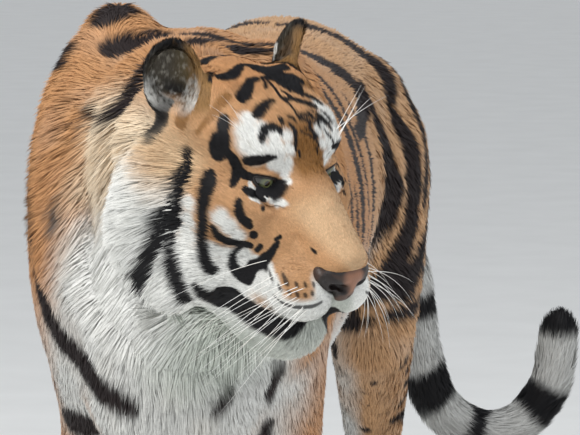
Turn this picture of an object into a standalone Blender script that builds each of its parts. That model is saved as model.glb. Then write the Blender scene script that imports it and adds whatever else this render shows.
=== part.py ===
"""A life-size tiger that stands with its head turned to its left, one solid for each part of its body.

The animal is modelled whole and then parted. Tubes and ellipsoids for the muscles are melted into one
surface, the outside of the coat, which is thinned out and sawn into its nodes by thin plates. Metres, +Z up.
The tiger faces -Y, so its left side is +X, and its four soles lie on the floor.
"""

import math

import bmesh
import bpy
from mathutils import Matrix, Vector

# Sizes of the animal, over the coat
WITHERS = 0.905  # the back over the shoulders
RUMP = 0.872  # the back over the hips
BELLY = 0.405  # the underside of the chest
HIP_SPREAD = 0.20  # half the width across the haunches
HIPS = 0.50  # the hips behind the body's middle
SHOULDERS = -0.38  # the shoulder blades ahead of it

BLADE_LIFT = {"left": -0.012, "right": 0.032}  # the right foreleg bears more weight

# How the head is held, by the middle between its eyes
FACE = Vector((0.154, -0.690, 0.759))
HEAD_YAW = math.radians(55.3)  # towards the tiger's left
HEAD_PITCH = math.radians(27.5)  # nose down
HEAD_ROLL = math.radians(4.3)  # left side up
EYE_RADIUS = 0.0165
EAR = Vector((-0.129, 0.089, 0.051))
EAR_TURN = math.radians(48)  # its hollow, from straight ahead outwards
EAR_LEAN = math.radians(16)  # its tip, outwards
EAR_ROOT = 0.007  # where it leaves the skull, below its own middle
EYE = Vector((-0.013, 0.0455, 0.0))  # the left eyeball in the head's own space

# Feet: across and along the body
FORE_PAWS = {"left": Vector((0.105, -0.545, 0)), "right": Vector((-0.105, -0.425, 0))}
HIND_PAWS = {"left": Vector((0.115, 0.450, 0)), "right": Vector((-0.115, 0.585, 0))}

FORE_PAW_WIDTH = 0.130
FORE_PAW_LENGTH = 0.154
HIND_PAW_WIDTH = 0.114
HIND_PAW_LENGTH = 0.146

# Toes: across and ahead, in shares of the paw's width and length, and their size
TOES = ((-0.36, -0.34, 0.027), (-0.13, -0.46, 0.030), (0.13, -0.46, 0.030), (0.36, -0.34, 0.027))

# The tail's run: each place with its two radii, and where it is parted
TAIL = (
    ((0.000, HIPS + 0.105, RUMP - 0.100), (0.056, 0.060)),
    ((0.012, HIPS + 0.190, RUMP - 0.125), (0.046, 0.048)),
    ((0.070, HIPS + 0.300, 0.640), (0.038, 0.039)),
    ((0.132, HIPS + 0.385, 0.500), (0.037, 0.037)),
    ((0.146, HIPS + 0.440, 0.375), (0.037, 0.037)),
    ((0.180, HIPS + 0.475, 0.275), (0.037, 0.037)),
    ((0.262, HIPS + 0.500, 0.240), (0.037, 0.037)),
    ((0.328, HIPS + 0.510, 0.300), (0.036, 0.036)),
    ((0.345, HIPS + 0.510, 0.385), (0.034, 0.034)),
)
TAIL_JOINTS = (7, 14, 19, 25)

# The mouth and the nose in the head's own space
MUZZLE_BACK = 0.026
MOUTH = -0.119
NOSE = Vector((0.109, 0, -0.063))
NOSE_RADII = (0.020, 0.031, 0.022)

# Making the surface
VOXEL = 0.005
TRUNK_ROUNDS = 24
HEAD_ROUNDS = 6
FINE_ROUNDS = 2
STEPS = 4  # from one station of a tube to the next
LEG_ROOM = 0.22  # the width sawn through at a leg
GAP = 0.0004  # sawn out between two nodes
BODY_TRIANGLES = 4100
HEAD_REACH = 0.5
HEAD_SHARE = 0.7

SIDES = {"left": 1, "right": -1}


def head_space():
    """From the head's own space to the world: x ahead to the nose, y to its left, z up."""
    level = Matrix.Rotation(HEAD_YAW - math.pi / 2, 4, "Z")
    pitch = Matrix.Rotation(HEAD_PITCH, 4, "Y")
    roll = Matrix.Rotation(HEAD_ROLL, 4, "X")
    return Matrix.Translation(FACE) @ level @ pitch @ roll


HEAD = head_space()


def unit_ball(around):
    """The mesh of a ball, made once for each fineness."""
    name = f"ball_{around}"
    if name not in bpy.data.meshes:
        form = bmesh.new()
        bmesh.ops.create_uvsphere(form, u_segments=around, v_segments=around * 5 // 8, radius=1)
        form.to_mesh(bpy.data.meshes.new(name))
        form.free()
    return bpy.data.meshes[name]


def add_ball(form, matrix, around=28):
    """Adds a unit ball to a form, stretched and placed by the matrix."""
    ball = unit_ball(around).copy()
    ball.transform(matrix)
    form.from_mesh(ball)
    bpy.data.meshes.remove(ball)


def ellipsoid(form, place, radii, turn=(0, 0, 0), space=None, around=28):
    """Adds an ellipsoid to a form; turn is in degrees about X, Y and Z."""
    matrix = Matrix.Translation(place)
    for angle, axis in zip(turn, "XYZ"):
        matrix = matrix @ Matrix.Rotation(math.radians(angle), 4, axis)
    matrix = matrix @ Matrix.Diagonal((*radii, 1))
    if space:
        matrix = space @ matrix
    add_ball(form, matrix, around)


def smooth_path(stations):
    """Stations on a Catmull-Rom curve through the given ones; each is a place and its two radii."""
    rows = [Vector((*place, *radii)) for place, radii in stations]
    rows = [2 * rows[0] - rows[1], *rows, 2 * rows[-1] - rows[-2]]
    path = []
    for before, here, there, after in zip(rows, rows[1:], rows[2:], rows[3:]):
        for step in range(STEPS):
            t = step / STEPS
            bend = (2 * before - 5 * here + 4 * there - after) * t**2
            twist = (3 * here - before - 3 * there + after) * t**3
            path.append((2 * here + (there - before) * t + bend + twist) / 2)
    path.append(rows[-2])
    return [(Vector(row[:3]), row[3], row[4]) for row in path]


def tube(form, stations, side=(1, 0, 0), space=None, around=24):
    """Adds a tube with round ends. A station is (place, (radius along side, radius across it))."""
    path = smooth_path(stations)
    if space:
        path = [(space @ place, wide, deep) for place, wide, deep in path]
        side = space.to_3x3() @ Vector(side)
    rings = []
    for index, (place, wide, deep) in enumerate(path):
        ahead = path[min(index + 1, len(path) - 1)][0] - path[max(index - 1, 0)][0]
        ahead.normalize()
        across = Vector(side) - ahead * ahead.dot(side)
        across.normalize()
        up = ahead.cross(across)
        ring = []
        for spoke in range(around):
            angle = 2 * math.pi * spoke / around
            ring.append(form.verts.new(place + across * math.cos(angle) * wide + up * math.sin(angle) * deep))
        rings.append(ring)
        if index in (0, len(path) - 1):
            axes = Matrix((across, ahead, up)).transposed().to_4x4()
            cap = Matrix.Translation(place) @ axes @ Matrix.Diagonal((wide, min(wide, deep), deep, 1))
            add_ball(form, cap)
    for ring, after in zip(rings, rings[1:]):
        for spoke in range(around):
            following = (spoke + 1) % around
            form.faces.new((ring[spoke], ring[following], after[following], after[spoke]))
    form.faces.new(reversed(rings[0]))
    form.faces.new(rings[-1])


def mirrored(place, sign):
    """A place given for the left side, on the side of the sign."""
    return Vector((place[0], place[1] * sign, place[2]))


# --- the body -------------------------------------------------------------------------------------------


def trunk(form):
    """Chest, barrel, loin and rump."""
    stations = (
        ((0, SHOULDERS - 0.150, 0.620), (0.105, 0.155)),
        ((0, SHOULDERS - 0.070, 0.645), (0.142, 0.215)),
        ((0, SHOULDERS + 0.060, (WITHERS + BELLY) / 2), (0.155, (WITHERS - BELLY) / 2)),
        ((0, SHOULDERS + 0.230, 0.640), (0.162, 0.232)),
        ((0, SHOULDERS + 0.420, 0.643), (0.162, 0.216)),
        ((0, HIPS - 0.230, 0.662), (0.154, 0.197)),
        ((0, HIPS - 0.090, RUMP - 0.178), (0.160, 0.180)),
        ((0, HIPS + 0.040, RUMP - 0.163), (0.150, 0.163)),
        ((0, HIPS + 0.125, RUMP - 0.150), (0.098, 0.122)),
    )
    tube(form, stations)
    ellipsoid(form, (0, SHOULDERS - 0.125, BELLY + 0.125), (0.112, 0.095, 0.135))


def neck(form):
    """The neck, which bends to the tiger's left, with its heavy ruff."""
    back = HEAD @ Vector((-0.125, 0, -0.045))
    stations = (
        ((0, SHOULDERS + 0.080, 0.770), (0.105, 0.128)),
        ((0.000, SHOULDERS - 0.070, 0.755), (0.112, 0.150)),
        ((0.010, SHOULDERS - 0.160, 0.742), (0.106, 0.138)),
        (back, (0.098, 0.104)),
    )
    tube(form, stations)
    ellipsoid(form, (0.040, -0.555, 0.655), (0.098, 0.085, 0.120), (12, 0, 10))
    ellipsoid(form, (-0.002, -0.548, 0.632), (0.088, 0.078, 0.112))
    ellipsoid(form, (0.012, -0.500, 0.560), (0.102, 0.092, 0.130), (8, 0, 0))


def shoulder(form, side, sign, paw):
    """The blade and the upper arm, down to the elbow."""
    lift = BLADE_LIFT[side]
    step = paw.y - FORE_PAWS["right"].y
    blade = (
        ((sign * 0.087, SHOULDERS + 0.030, WITHERS - 0.050 + lift), (0.050, 0.066)),
        ((sign * 0.107, SHOULDERS - 0.010, WITHERS - 0.150 + lift), (0.072, 0.102)),
        ((sign * 0.113, SHOULDERS - 0.060, 0.640), (0.067, 0.112)),
        ((sign * 0.107, SHOULDERS - 0.045 + 0.2 * step, 0.545), (0.056, 0.098)),
    )
    tube(form, blade)
    elbow = Vector((sign * 0.103, SHOULDERS + 0.005 + 0.35 * step, 0.465))
    arm = (
        ((sign * 0.110, SHOULDERS - 0.060 + 0.1 * step, 0.590), (0.058, 0.095)),
        (elbow, (0.053, 0.082)),
    )
    tube(form, arm)
    return elbow


def foreleg(form, paw, elbow):
    """Forearm, wrist and pastern."""
    wrist = Vector((paw.x, paw.y + 0.026, 0.160))
    middle = elbow.lerp(wrist, 0.45) + Vector((0, -0.008, 0))
    stations = (
        (elbow, (0.053, 0.078)),
        (middle, (0.053, 0.064)),
        (wrist, (0.053, 0.055)),
        ((paw.x, paw.y + 0.018, 0.100), (0.054, 0.052)),
        ((paw.x, paw.y - 0.005, 0.062), (0.058, 0.046)),
    )
    tube(form, stations)


def hindleg(form, sign, paw):
    """Thigh, shank and the long foot up to the hock."""
    step = paw.y - (HIPS - 0.06)
    knee = Vector((sign * 0.132, HIPS - 0.125 + 0.45 * step, 0.470))
    hock = Vector((sign * 0.114, paw.y + 0.145, 0.268))
    thigh = (
        ((sign * 0.094, HIPS + 0.005, RUMP - 0.118), (0.076, 0.108)),
        ((sign * 0.104, HIPS + 0.005, 0.685), (HIP_SPREAD - 0.104, 0.150)),
        ((sign * 0.118, HIPS - 0.045 + 0.25 * step, 0.555), (0.080, 0.130)),
        (knee, (0.062, 0.080)),
    )
    tube(form, thigh)
    shank = (
        (knee, (0.058, 0.078)),
        (knee.lerp(hock, 0.45) + Vector((0, 0.006, 0)), (0.050, 0.070)),
        (hock, (0.038, 0.047)),
    )
    tube(form, shank)
    foot = (
        (hock + Vector((0, 0.006, 0.004)), (0.038, 0.043)),
        ((paw.x, paw.y + 0.105, 0.155), (0.038, 0.038)),
        ((paw.x, paw.y + 0.055, 0.080), (0.045, 0.040)),
        ((paw.x, paw.y + 0.005, 0.052), (0.052, 0.040)),
    )
    tube(form, foot)


def paw_pad(form, paw, width, length):
    """A paw with its four toes, whose underside goes a little into the floor to be cut flat."""
    ellipsoid(form, (paw.x, paw.y - 0.010, 0.038), (width * 0.48, length * 0.46, 0.046))
    for across, ahead, size in TOES:
        place = (paw.x + across * width, paw.y + ahead * length, size)
        ellipsoid(form, place, (size * 0.86, size * 1.30, size * 1.08), (0, 0, across * 40))


def tail(form):
    """It hangs behind the haunches, then sweeps to the tiger's left and up to its round tip."""
    tube(form, TAIL)


# --- the head, in its own space -------------------------------------------------------------------------


def skull(form):
    """Brain case, forehead and the throat behind the jaw."""
    ellipsoid(form, (-0.105, 0, -0.006), (0.098, 0.092, 0.078), space=HEAD)
    ellipsoid(form, (-0.050, 0, 0.010), (0.062, 0.080, 0.054), space=HEAD)
    ellipsoid(form, (-0.085, 0, -0.085), (0.095, 0.100, 0.092), space=HEAD)


def cheeks(form):
    """The temples, the cheekbones, and the ruff that hangs behind and below the jaw."""
    for sign in SIDES.values():
        ellipsoid(form, mirrored((-0.066, 0.046, 0.014), sign), (0.062, 0.050, 0.046), space=HEAD)
        ellipsoid(form, mirrored((-0.098, 0.048, 0.020), sign), (0.050, 0.050, 0.052), space=HEAD)
        ellipsoid(form, mirrored((-0.048, 0.053, -0.043), sign), (0.080, 0.052, 0.062), space=HEAD)
        ellipsoid(form, mirrored((-0.105, 0.076, -0.078), sign), (0.056, 0.056, 0.098), space=HEAD)
        ellipsoid(form, mirrored((-0.065, 0.050, -0.112), sign), (0.078, 0.056, 0.070), space=HEAD)
        ellipsoid(form, mirrored((-0.010, 0.034, -0.100), sign), (0.062, 0.040, 0.050), space=HEAD)
        ellipsoid(form, mirrored((-0.075, 0.065, -0.130), sign), (0.048, 0.040, 0.080), (0, -27, 0), HEAD)


def face(form):
    """Brows, nose bridge, upper jaw, whisker pads and chin."""
    bridge = (
        ((-0.030, 0, 0.014), (0.046, 0.032)),
        ((0.020, 0, -0.016), (0.040, 0.032)),
        ((0.060, 0, -0.037), (0.036, 0.031)),
        ((0.100, 0, -0.056), (0.034, 0.028)),
    )
    tube(form, bridge, side=(0, 1, 0), space=HEAD)
    jaw = (
        ((-0.060, 0, -0.130), (0.080, 0.066)),
        ((0.010, 0, -0.144), (0.058, 0.056)),
        ((0.050, 0, -0.148), (0.046, 0.046)),
        ((0.072, 0, -0.146), (0.035, 0.034)),
    )
    tube(form, jaw, side=(0, 1, 0), space=HEAD)
    ellipsoid(form, (0.034, 0, -0.078), (0.076, 0.058, 0.050), space=HEAD)
    for sign in SIDES.values():
        ellipsoid(form, mirrored((-0.030, 0.046, 0.024), sign), (0.029, 0.031, 0.016), space=HEAD)
        ellipsoid(form, mirrored((-0.004, 0.030, -0.054), sign), (0.070, 0.042, 0.044), (0, 16, 0), HEAD)
        pad, behind = mirrored((0.069, 0.031, -0.090), sign), mirrored((0.028, 0.040, -0.106), sign)
        ellipsoid(form, pad, (0.047, 0.035, 0.037), (0, 0, -sign * 10), HEAD)
        ellipsoid(form, behind, (0.052, 0.026, 0.034), (0, 0, -sign * 8), HEAD)


def ear_space(sign):
    """From an ear's own space to the world: x out of its hollow, z up to its tip."""
    turn = Matrix.Rotation(sign * EAR_TURN, 4, "Z")
    lean = Matrix.Rotation(-sign * EAR_LEAN, 4, "X")
    return HEAD @ Matrix.Translation(mirrored(EAR, sign)) @ turn @ lean


def ear(form, sign):
    """A round ear, whose hollow is taken out of it later."""
    ellipsoid(form, (0, 0, 0.003), (0.020, 0.034, 0.048), space=ear_space(sign))


# --- making one surface ---------------------------------------------------------------------------------


def mesh_object(name, form):
    mesh = bpy.data.meshes.new(name)
    form.to_mesh(mesh)
    form.free()
    thing = bpy.data.objects.new(name, mesh)
    bpy.context.scene.collection.objects.link(thing)
    return thing


def baked(thing):
    """The object's mesh with its modifiers applied."""
    graph = bpy.context.evaluated_depsgraph_get()
    mesh = bpy.data.meshes.new_from_object(thing.evaluated_get(graph))
    thing.modifiers.clear()
    old, thing.data = thing.data, mesh
    bpy.data.meshes.remove(old)


def melted(name, form):
    """One closed skin around everything in the form, its creases rounded off most on the trunk."""
    thing = mesh_object(name, form)
    remesh = thing.modifiers.new("Melt", "REMESH")
    remesh.mode = "VOXEL"
    remesh.voxel_size = VOXEL
    baked(thing)
    for spot, rounds in ((trunk_share, TRUNK_ROUNDS), (head_share, HEAD_ROUNDS), (None, FINE_ROUNDS)):
        smooth = thing.modifiers.new("Round", "SMOOTH")
        smooth.factor = 0.5
        smooth.iterations = rounds
        if spot:
            group = thing.vertex_groups.new(name=spot.__name__)
            for vertex in thing.data.vertices:
                group.add((vertex.index,), spot(vertex.co), "REPLACE")
            smooth.vertex_group = group.name
    baked(thing)
    thing.vertex_groups.clear()
    return thing


def clamped(value):
    return min(1, max(0, value))


def trunk_share(place):
    """1 on the trunk and the thick of the legs, 0 on the feet, the tail and the head."""
    away_from_head = ((place - FACE).length - 0.17) / 0.10
    above_feet = (place.z - 0.20) / 0.15
    before_tail = (HIPS + 0.24 - place.y) / 0.05
    return clamped(min(away_from_head, above_feet, before_tail))


def head_share(place):
    """1 on the head without its ears."""
    near_head = (0.24 - (place - FACE).length) / 0.05
    nearest_ear = min((place - ear_space(sign).translation).length for sign in SIDES.values())
    return clamped(min(near_head, (nearest_ear - 0.055) / 0.02))


def thinned(thing):
    """Fewer triangles, with more of them left on the head than on the body."""
    group = thing.vertex_groups.new(name="body")
    for vertex in thing.data.vertices:
        away = (vertex.co - FACE).length / HEAD_REACH
        group.add((vertex.index,), min(1, max(HEAD_SHARE, away)), "REPLACE")
    decimate = thing.modifiers.new("Thin", "DECIMATE")
    decimate.vertex_group = group.name
    decimate.vertex_group_factor = 1
    decimate.ratio = BODY_TRIANGLES / (2 * len(thing.data.polygons))
    baked(thing)
    thing.vertex_groups.clear()


def cut(thing, cutter):
    """Takes the cutter's volume out of the object and removes the cutter."""
    boolean = thing.modifiers.new("Cut", "BOOLEAN")
    boolean.operation = "DIFFERENCE"
    boolean.object = cutter
    baked(thing)
    mesh = cutter.data
    bpy.data.objects.remove(cutter)
    bpy.data.meshes.remove(mesh)


def box(name, space, sizes):
    form = bmesh.new()
    bmesh.ops.create_cube(form, size=1, matrix=space @ Matrix.Diagonal((*sizes, 1)))
    return mesh_object(name, form)


def whole_animal():
    form = bmesh.new()
    trunk(form)
    neck(form)
    for side, sign in SIDES.items():
        elbow = shoulder(form, side, sign, FORE_PAWS[side])
        foreleg(form, FORE_PAWS[side], elbow)
        hindleg(form, sign, HIND_PAWS[side])
        paw_pad(form, FORE_PAWS[side], FORE_PAW_WIDTH, FORE_PAW_LENGTH)
        paw_pad(form, HIND_PAWS[side], HIND_PAW_WIDTH, HIND_PAW_LENGTH)
        ear(form, sign)
    tail(form)
    skull(form)
    cheeks(form)
    face(form)
    return melted("body", form)


def ear_cup(sign):
    """The hollow of an ear, as a cutter."""
    form = bmesh.new()
    ellipsoid(form, (0.019, 0, 0.012), (0.019, 0.027, 0.036), space=ear_space(sign), around=14)
    return mesh_object("cup", form)


def eyeball(name, sign, play=0):
    form = bmesh.new()
    ellipsoid(form, mirrored(EYE, sign), [EYE_RADIUS + play] * 3, space=HEAD, around=14)
    return mesh_object(name, form)


def eye_opening(sign):
    """Between the lids, as a cutter."""
    form = bmesh.new()
    place = mirrored(EYE + Vector((0.017, 0.005, 0.000)), sign)
    ellipsoid(form, place, (0.016, 0.019, 0.011), (0, 0, sign * 18), HEAD, around=14)
    return mesh_object("lids", form)


def nose_leather(name, play=0):
    form = bmesh.new()
    ellipsoid(form, NOSE, [radius + play for radius in NOSE_RADII], space=HEAD, around=14)
    return mesh_object(name, form)


# --- parting it into nodes ------------------------------------------------------------------------------


def plate(place, normal, width, height, space=None):
    """A thin saw blade: its middle, the way it faces, its width and its height."""
    turn = Vector(normal).to_track_quat("Z", "Y").to_matrix().to_4x4()
    matrix = Matrix.Translation(place) @ turn
    if space:
        matrix = space @ matrix
    return box("saw", matrix, (width, height, GAP))


def level_plate(x, y, z, length):
    """A level cut across a leg, as wide as given."""
    return box("saw", Matrix.Translation((x, y, z)), (LEG_ROOM, length, GAP))


def side_plates(middle, half_width, lean):
    """The cuts between the trunk and the legs of one pair, closer together at the feet."""
    for sign in SIDES.values():
        place = Matrix.Translation((sign * half_width, middle, 0.66))
        tilt = Matrix.Rotation(sign * lean, 4, "Y")
        yield box("saw", place @ tilt, (GAP, 0.70, 0.70))


def trunk_plates():
    """The cuts behind the head, before the shoulders, behind them and before the haunches."""
    yield plate((0.045, -0.605, 0.740), (0.470, -0.814, 0.342), 0.44, 0.56)
    yield plate((0.010, SHOULDERS - 0.100, 0.750), (0, -0.882, 0.470), 0.60, 0.66)
    yield plate((0, SHOULDERS + 0.180, 0.650), (0, 1, 0), 0.60, 0.70)
    yield plate((0, HIPS - 0.232, 0.650), (0, 1, 0), 0.60, 0.70)


def tail_plates():
    """The cuts across the tail, between its lengths."""
    path = smooth_path(TAIL)
    for joint in TAIL_JOINTS:
        before, here, after = path[joint - 1 : joint + 2]
        yield plate(here[0], after[0] - before[0], 0.12, 0.12)


def head_plates():
    """The cuts under each ear, behind the muzzle and along the mouth."""
    for sign in SIDES.values():
        yield plate((0, 0, EAR_ROOT), (0, 0, 1), 0.100, 0.120, ear_space(sign))
    yield plate((MUZZLE_BACK, 0, -0.090), (1, 0, 0), 0.30, 0.30, HEAD)
    yield box("saw", HEAD @ Matrix.Translation((MUZZLE_BACK + 0.10, 0, MOUTH)), (0.20, 0.24, GAP))


def foreleg_plates():
    yield from side_plates(SHOULDERS, 0.095, math.radians(10))
    for side, sign in SIDES.items():
        paw = FORE_PAWS[side]
        yield level_plate(sign * 0.125, SHOULDERS - 0.05, BELLY - 0.012, 0.30)
        yield level_plate(paw.x, paw.y, 0.135, 0.22)


def hindleg_plates():
    yield from side_plates(HIPS, 0.088, math.radians(12))
    for side, sign in SIDES.items():
        paw = HIND_PAWS[side]
        yield level_plate(sign * 0.125, HIPS - 0.06, 0.435, 0.36)
        yield level_plate(paw.x, paw.y + 0.14, 0.235, 0.20)
        yield level_plate(paw.x, paw.y + 0.04, 0.085, 0.22)


def trunk_seeds():
    """A place inside each length of the trunk and the tail, to name it by."""
    yield "head", HEAD @ Vector((-0.040, 0, -0.040))
    yield "neck", Vector((0, -0.530, 0.720))
    yield "chest", Vector((0, SHOULDERS - 0.020, 0.500))
    yield "barrel", Vector((0, (SHOULDERS + HIPS) / 2, 0.650))
    yield "rump", Vector((0, HIPS + 0.010, 0.450))
    path = smooth_path(TAIL)
    ends = (*TAIL_JOINTS, len(path) - 1)
    for name, start, end in zip(("base", "middle", "bend", "tip"), ends, ends[1:]):
        yield "tail_" + name, path[(start + end) // 2][0]


def head_seeds():
    yield "head", HEAD @ Vector((-0.060, 0, -0.040))
    yield "muzzle", HEAD @ Vector((0.065, 0, -0.080))
    yield "lower_jaw", HEAD @ Vector((0.050, 0, -0.150))
    for side, sign in SIDES.items():
        yield "ear_" + side, ear_space(sign).translation


def foreleg_seeds():
    yield "chest", Vector((0, SHOULDERS - 0.020, 0.660))
    for side, sign in SIDES.items():
        paw = FORE_PAWS[side]
        yield "shoulder_" + side, Vector((sign * 0.130, SHOULDERS - 0.030, 0.600))
        yield "forearm_" + side, Vector((paw.x, 0.5 * (paw.y + SHOULDERS), 0.270))
        yield "forepaw_" + side, Vector((paw.x, paw.y, 0.060))


def hindleg_seeds():
    yield "rump", Vector((0, HIPS + 0.010, RUMP - 0.160))
    for side, sign in SIDES.items():
        paw = HIND_PAWS[side]
        yield "thigh_" + side, Vector((sign * 0.130, HIPS - 0.030, 0.580))
        yield "shank_" + side, Vector((sign * 0.122, 0.4 * HIPS + 0.6 * paw.y + 0.02, 0.340))
        yield "metatarsus_" + side, Vector((paw.x, paw.y + 0.110, 0.155))
        yield "hindpaw_" + side, Vector((paw.x, paw.y, 0.040))


def loose_parts(form):
    """The closed bodies of a form, each as a set of its vertices."""
    unseen = set(form.verts)
    while unseen:
        start = unseen.pop()
        part, edge = {start}, [start]
        while edge:
            for link in edge.pop().link_edges:
                for vertex in link.verts:
                    if vertex in unseen:
                        unseen.discard(vertex)
                        part.add(vertex)
                        edge.append(vertex)
        yield part


def sawn(thing, plates, seeds):
    """Saws an object apart and makes an object of each piece, named by the seed nearest to its middle."""
    for blade in plates:
        cut(thing, blade)
    wanted = dict(seeds)
    form = bmesh.new()
    form.from_mesh(thing.data)
    bpy.data.objects.remove(thing)
    pieces = {}
    for part in loose_parts(form):
        low = Vector([min(vertex.co[axis] for vertex in part) for axis in range(3)])
        high = Vector([max(vertex.co[axis] for vertex in part) for axis in range(3)])
        middle = (low + high) / 2
        name = min(wanted, key=lambda key: (wanted[key] - middle).length)
        piece = bmesh.new()
        copies = {vertex: piece.verts.new(vertex.co) for vertex in part}
        for face in {face for vertex in part for face in vertex.link_faces}:
            piece.faces.new([copies[vertex] for vertex in face.verts])
        pieces[name] = mesh_object(name, piece)
    form.free()
    return pieces


# --- colours --------------------------------------------------------------------------------------------

ORANGE_NODES = ("head", "neck", "chest", "barrel", "rump", "shoulder", "thigh", "shank")
CREAM_NODES = ("muzzle", "lower_jaw", "forearm", "metatarsus", "forepaw", "hindpaw")

# Colour, roughness and the nodes that have them, by how a node's name starts
MATERIALS = {
    "coat_orange": ((0.50, 0.26, 0.11), 0.80, ORANGE_NODES),
    "coat_cream": ((0.70, 0.60, 0.46), 0.80, CREAM_NODES),
    "coat_banded": ((0.42, 0.37, 0.30), 0.80, ("tail",)),
    "coat_dark": ((0.06, 0.05, 0.04), 0.80, ("ear",)),
    "nose_leather": ((0.26, 0.13, 0.10), 0.45, ("nose",)),
    "eye": ((0.12, 0.11, 0.05), 0.10, ("eye",)),
}


def material(name, colour, roughness):
    found = bpy.data.materials.new(name)
    found.use_nodes = True
    shader = found.node_tree.nodes["Principled BSDF"]
    shader.inputs["Base Color"].default_value = (*colour, 1)
    shader.inputs["Roughness"].default_value = roughness
    shader.inputs["Metallic"].default_value = 0
    return found


def dress():
    """Gives each node its material and shades it smooth."""
    for name, (colour, roughness, starts) in MATERIALS.items():
        coat = material(name, colour, roughness)
        for thing in bpy.data.objects:
            if thing.name.startswith(starts):
                thing.data.materials.append(coat)
                thing.data.shade_smooth()
                thing.data.set_sharp_from_angle(angle=math.radians(50))


def stand_at_origin():
    """Puts the middle of the animal's footprint at the origin."""
    corners = [vertex.co for thing in bpy.data.objects for vertex in thing.data.vertices]
    for axis in (0, 1):
        middle = (min(corner[axis] for corner in corners) + max(corner[axis] for corner in corners)) / 2
        for thing in bpy.data.objects:
            thing.location[axis] = -middle


def main():
    for thing in list(bpy.data.objects):
        bpy.data.objects.remove(thing)
    body = whole_animal()
    thinned(body)
    cut(body, box("floor", Matrix.Translation((0, 0, -0.5)), (4, 4, 1)))
    cut(body, nose_leather("nose_bed", GAP))
    for sign in SIDES.values():
        cut(body, ear_cup(sign))
        cut(body, eye_opening(sign))
        cut(body, eyeball("socket", sign, GAP))
    lengths = sawn(body, [*trunk_plates(), *tail_plates()], trunk_seeds())
    sawn(lengths["head"], head_plates(), head_seeds())
    sawn(lengths["chest"], foreleg_plates(), foreleg_seeds())
    sawn(lengths["rump"], hindleg_plates(), hindleg_seeds())
    nose_leather("nose")
    for side, sign in SIDES.items():
        eyeball("eye_" + side, sign)
    dress()
    stand_at_origin()


main()
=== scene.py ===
"""The looks of the standing tiger: skin, coat, eyes, nose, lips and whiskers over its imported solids."""

import math

import bmesh
import bpy
import numpy as np
from mathutils import Matrix, Vector
from mathutils.bvhtree import BVHTree


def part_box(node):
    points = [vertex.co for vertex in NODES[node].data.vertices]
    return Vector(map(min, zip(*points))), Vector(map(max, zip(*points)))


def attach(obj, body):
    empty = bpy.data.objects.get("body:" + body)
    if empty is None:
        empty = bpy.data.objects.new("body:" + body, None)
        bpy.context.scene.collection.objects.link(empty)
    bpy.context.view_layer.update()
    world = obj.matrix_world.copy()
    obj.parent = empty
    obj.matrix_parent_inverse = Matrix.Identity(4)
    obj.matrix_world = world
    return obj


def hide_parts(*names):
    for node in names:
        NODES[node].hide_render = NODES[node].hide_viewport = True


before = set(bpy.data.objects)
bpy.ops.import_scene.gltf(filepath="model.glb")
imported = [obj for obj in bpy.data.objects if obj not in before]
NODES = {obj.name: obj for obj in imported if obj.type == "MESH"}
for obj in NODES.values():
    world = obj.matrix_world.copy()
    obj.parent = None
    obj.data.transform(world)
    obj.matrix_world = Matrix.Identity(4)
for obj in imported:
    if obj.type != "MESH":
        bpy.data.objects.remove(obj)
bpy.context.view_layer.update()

SIDES = {"left": 1, "right": -1}


# --- the head's own space, as in the solids: x ahead to the nose, y left, z up ---------------------------

EYE = Vector((-0.013, 0.0455, 0))
EYE_RADIUS = 0.0165
NOSE = Vector((0.109, 0, -0.063))
EAR = Vector((-0.129, 0.089, 0.051))
EAR_TURN = math.radians(48)
EAR_LEAN = math.radians(16)
FACE_IN_SOURCE = Vector((0.154, -0.690, 0.759))  # the head's place before the solids were centred


def centre(node):
    low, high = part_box(node)
    return (low + high) / 2


def head_space():
    left = (centre("eye_left") - centre("eye_right")).normalized()
    between = (centre("eye_left") + centre("eye_right")) / 2
    to_nose = centre("nose") - between
    to_nose -= left * to_nose.dot(left)
    drop = math.atan2(-NOSE.z, NOSE.x - EYE.x)
    to_nose.normalize()
    over = to_nose.cross(left)
    ahead = to_nose * math.cos(drop) + over * math.sin(drop)
    up = ahead.cross(left)
    turn = Matrix((ahead, left, up)).transposed().to_4x4()
    return Matrix.Translation(between - ahead * EYE.x) @ turn


HEAD = head_space()
SHIFT = HEAD.translation - FACE_IN_SOURCE
HEAD_TURN = np.array(HEAD.to_3x3())
HEAD_PLACE = np.array(HEAD.translation)


def to_source(points):
    """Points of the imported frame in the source's own, in centimetres."""
    return (points - np.array(SHIFT)) * 100


def to_head(points):
    return (points - HEAD_PLACE) @ HEAD_TURN


def from_head(points):
    return points @ HEAD_TURN.T + HEAD_PLACE


def mirrored(place, sign):
    return Vector((place[0], place[1] * sign, place[2]))


def ear_space(sign):
    turn = Matrix.Rotation(sign * EAR_TURN, 4, "Z")
    lean = Matrix.Rotation(-sign * EAR_LEAN, 4, "X")
    return HEAD @ Matrix.Translation(mirrored(EAR, sign)) @ turn @ lean


# --- numbers over many points -----------------------------------------------------------------------------


def ramp(value, low, high):
    """0 below low, 1 above high, smooth between."""
    t = np.clip((value - low) / (high - low), 0, 1)
    return t * t * (3 - 2 * t)


def lattice(cells, seed):
    """A value from 0 to 1 for each whole-numbered cell."""
    x, y, z = (cells[:, axis].astype(np.uint32) for axis in range(3))
    mixed = x * np.uint32(374761393) + y * np.uint32(668265263) + z * np.uint32(2147483647)
    mixed = mixed + np.uint32(seed) * np.uint32(1274126177)
    mixed = (mixed ^ (mixed >> np.uint32(13))) * np.uint32(1103515245)
    mixed = (mixed ^ (mixed >> np.uint32(16))) * np.uint32(2246822519)
    return (mixed >> np.uint32(8)).astype(float) / 2**24


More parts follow.
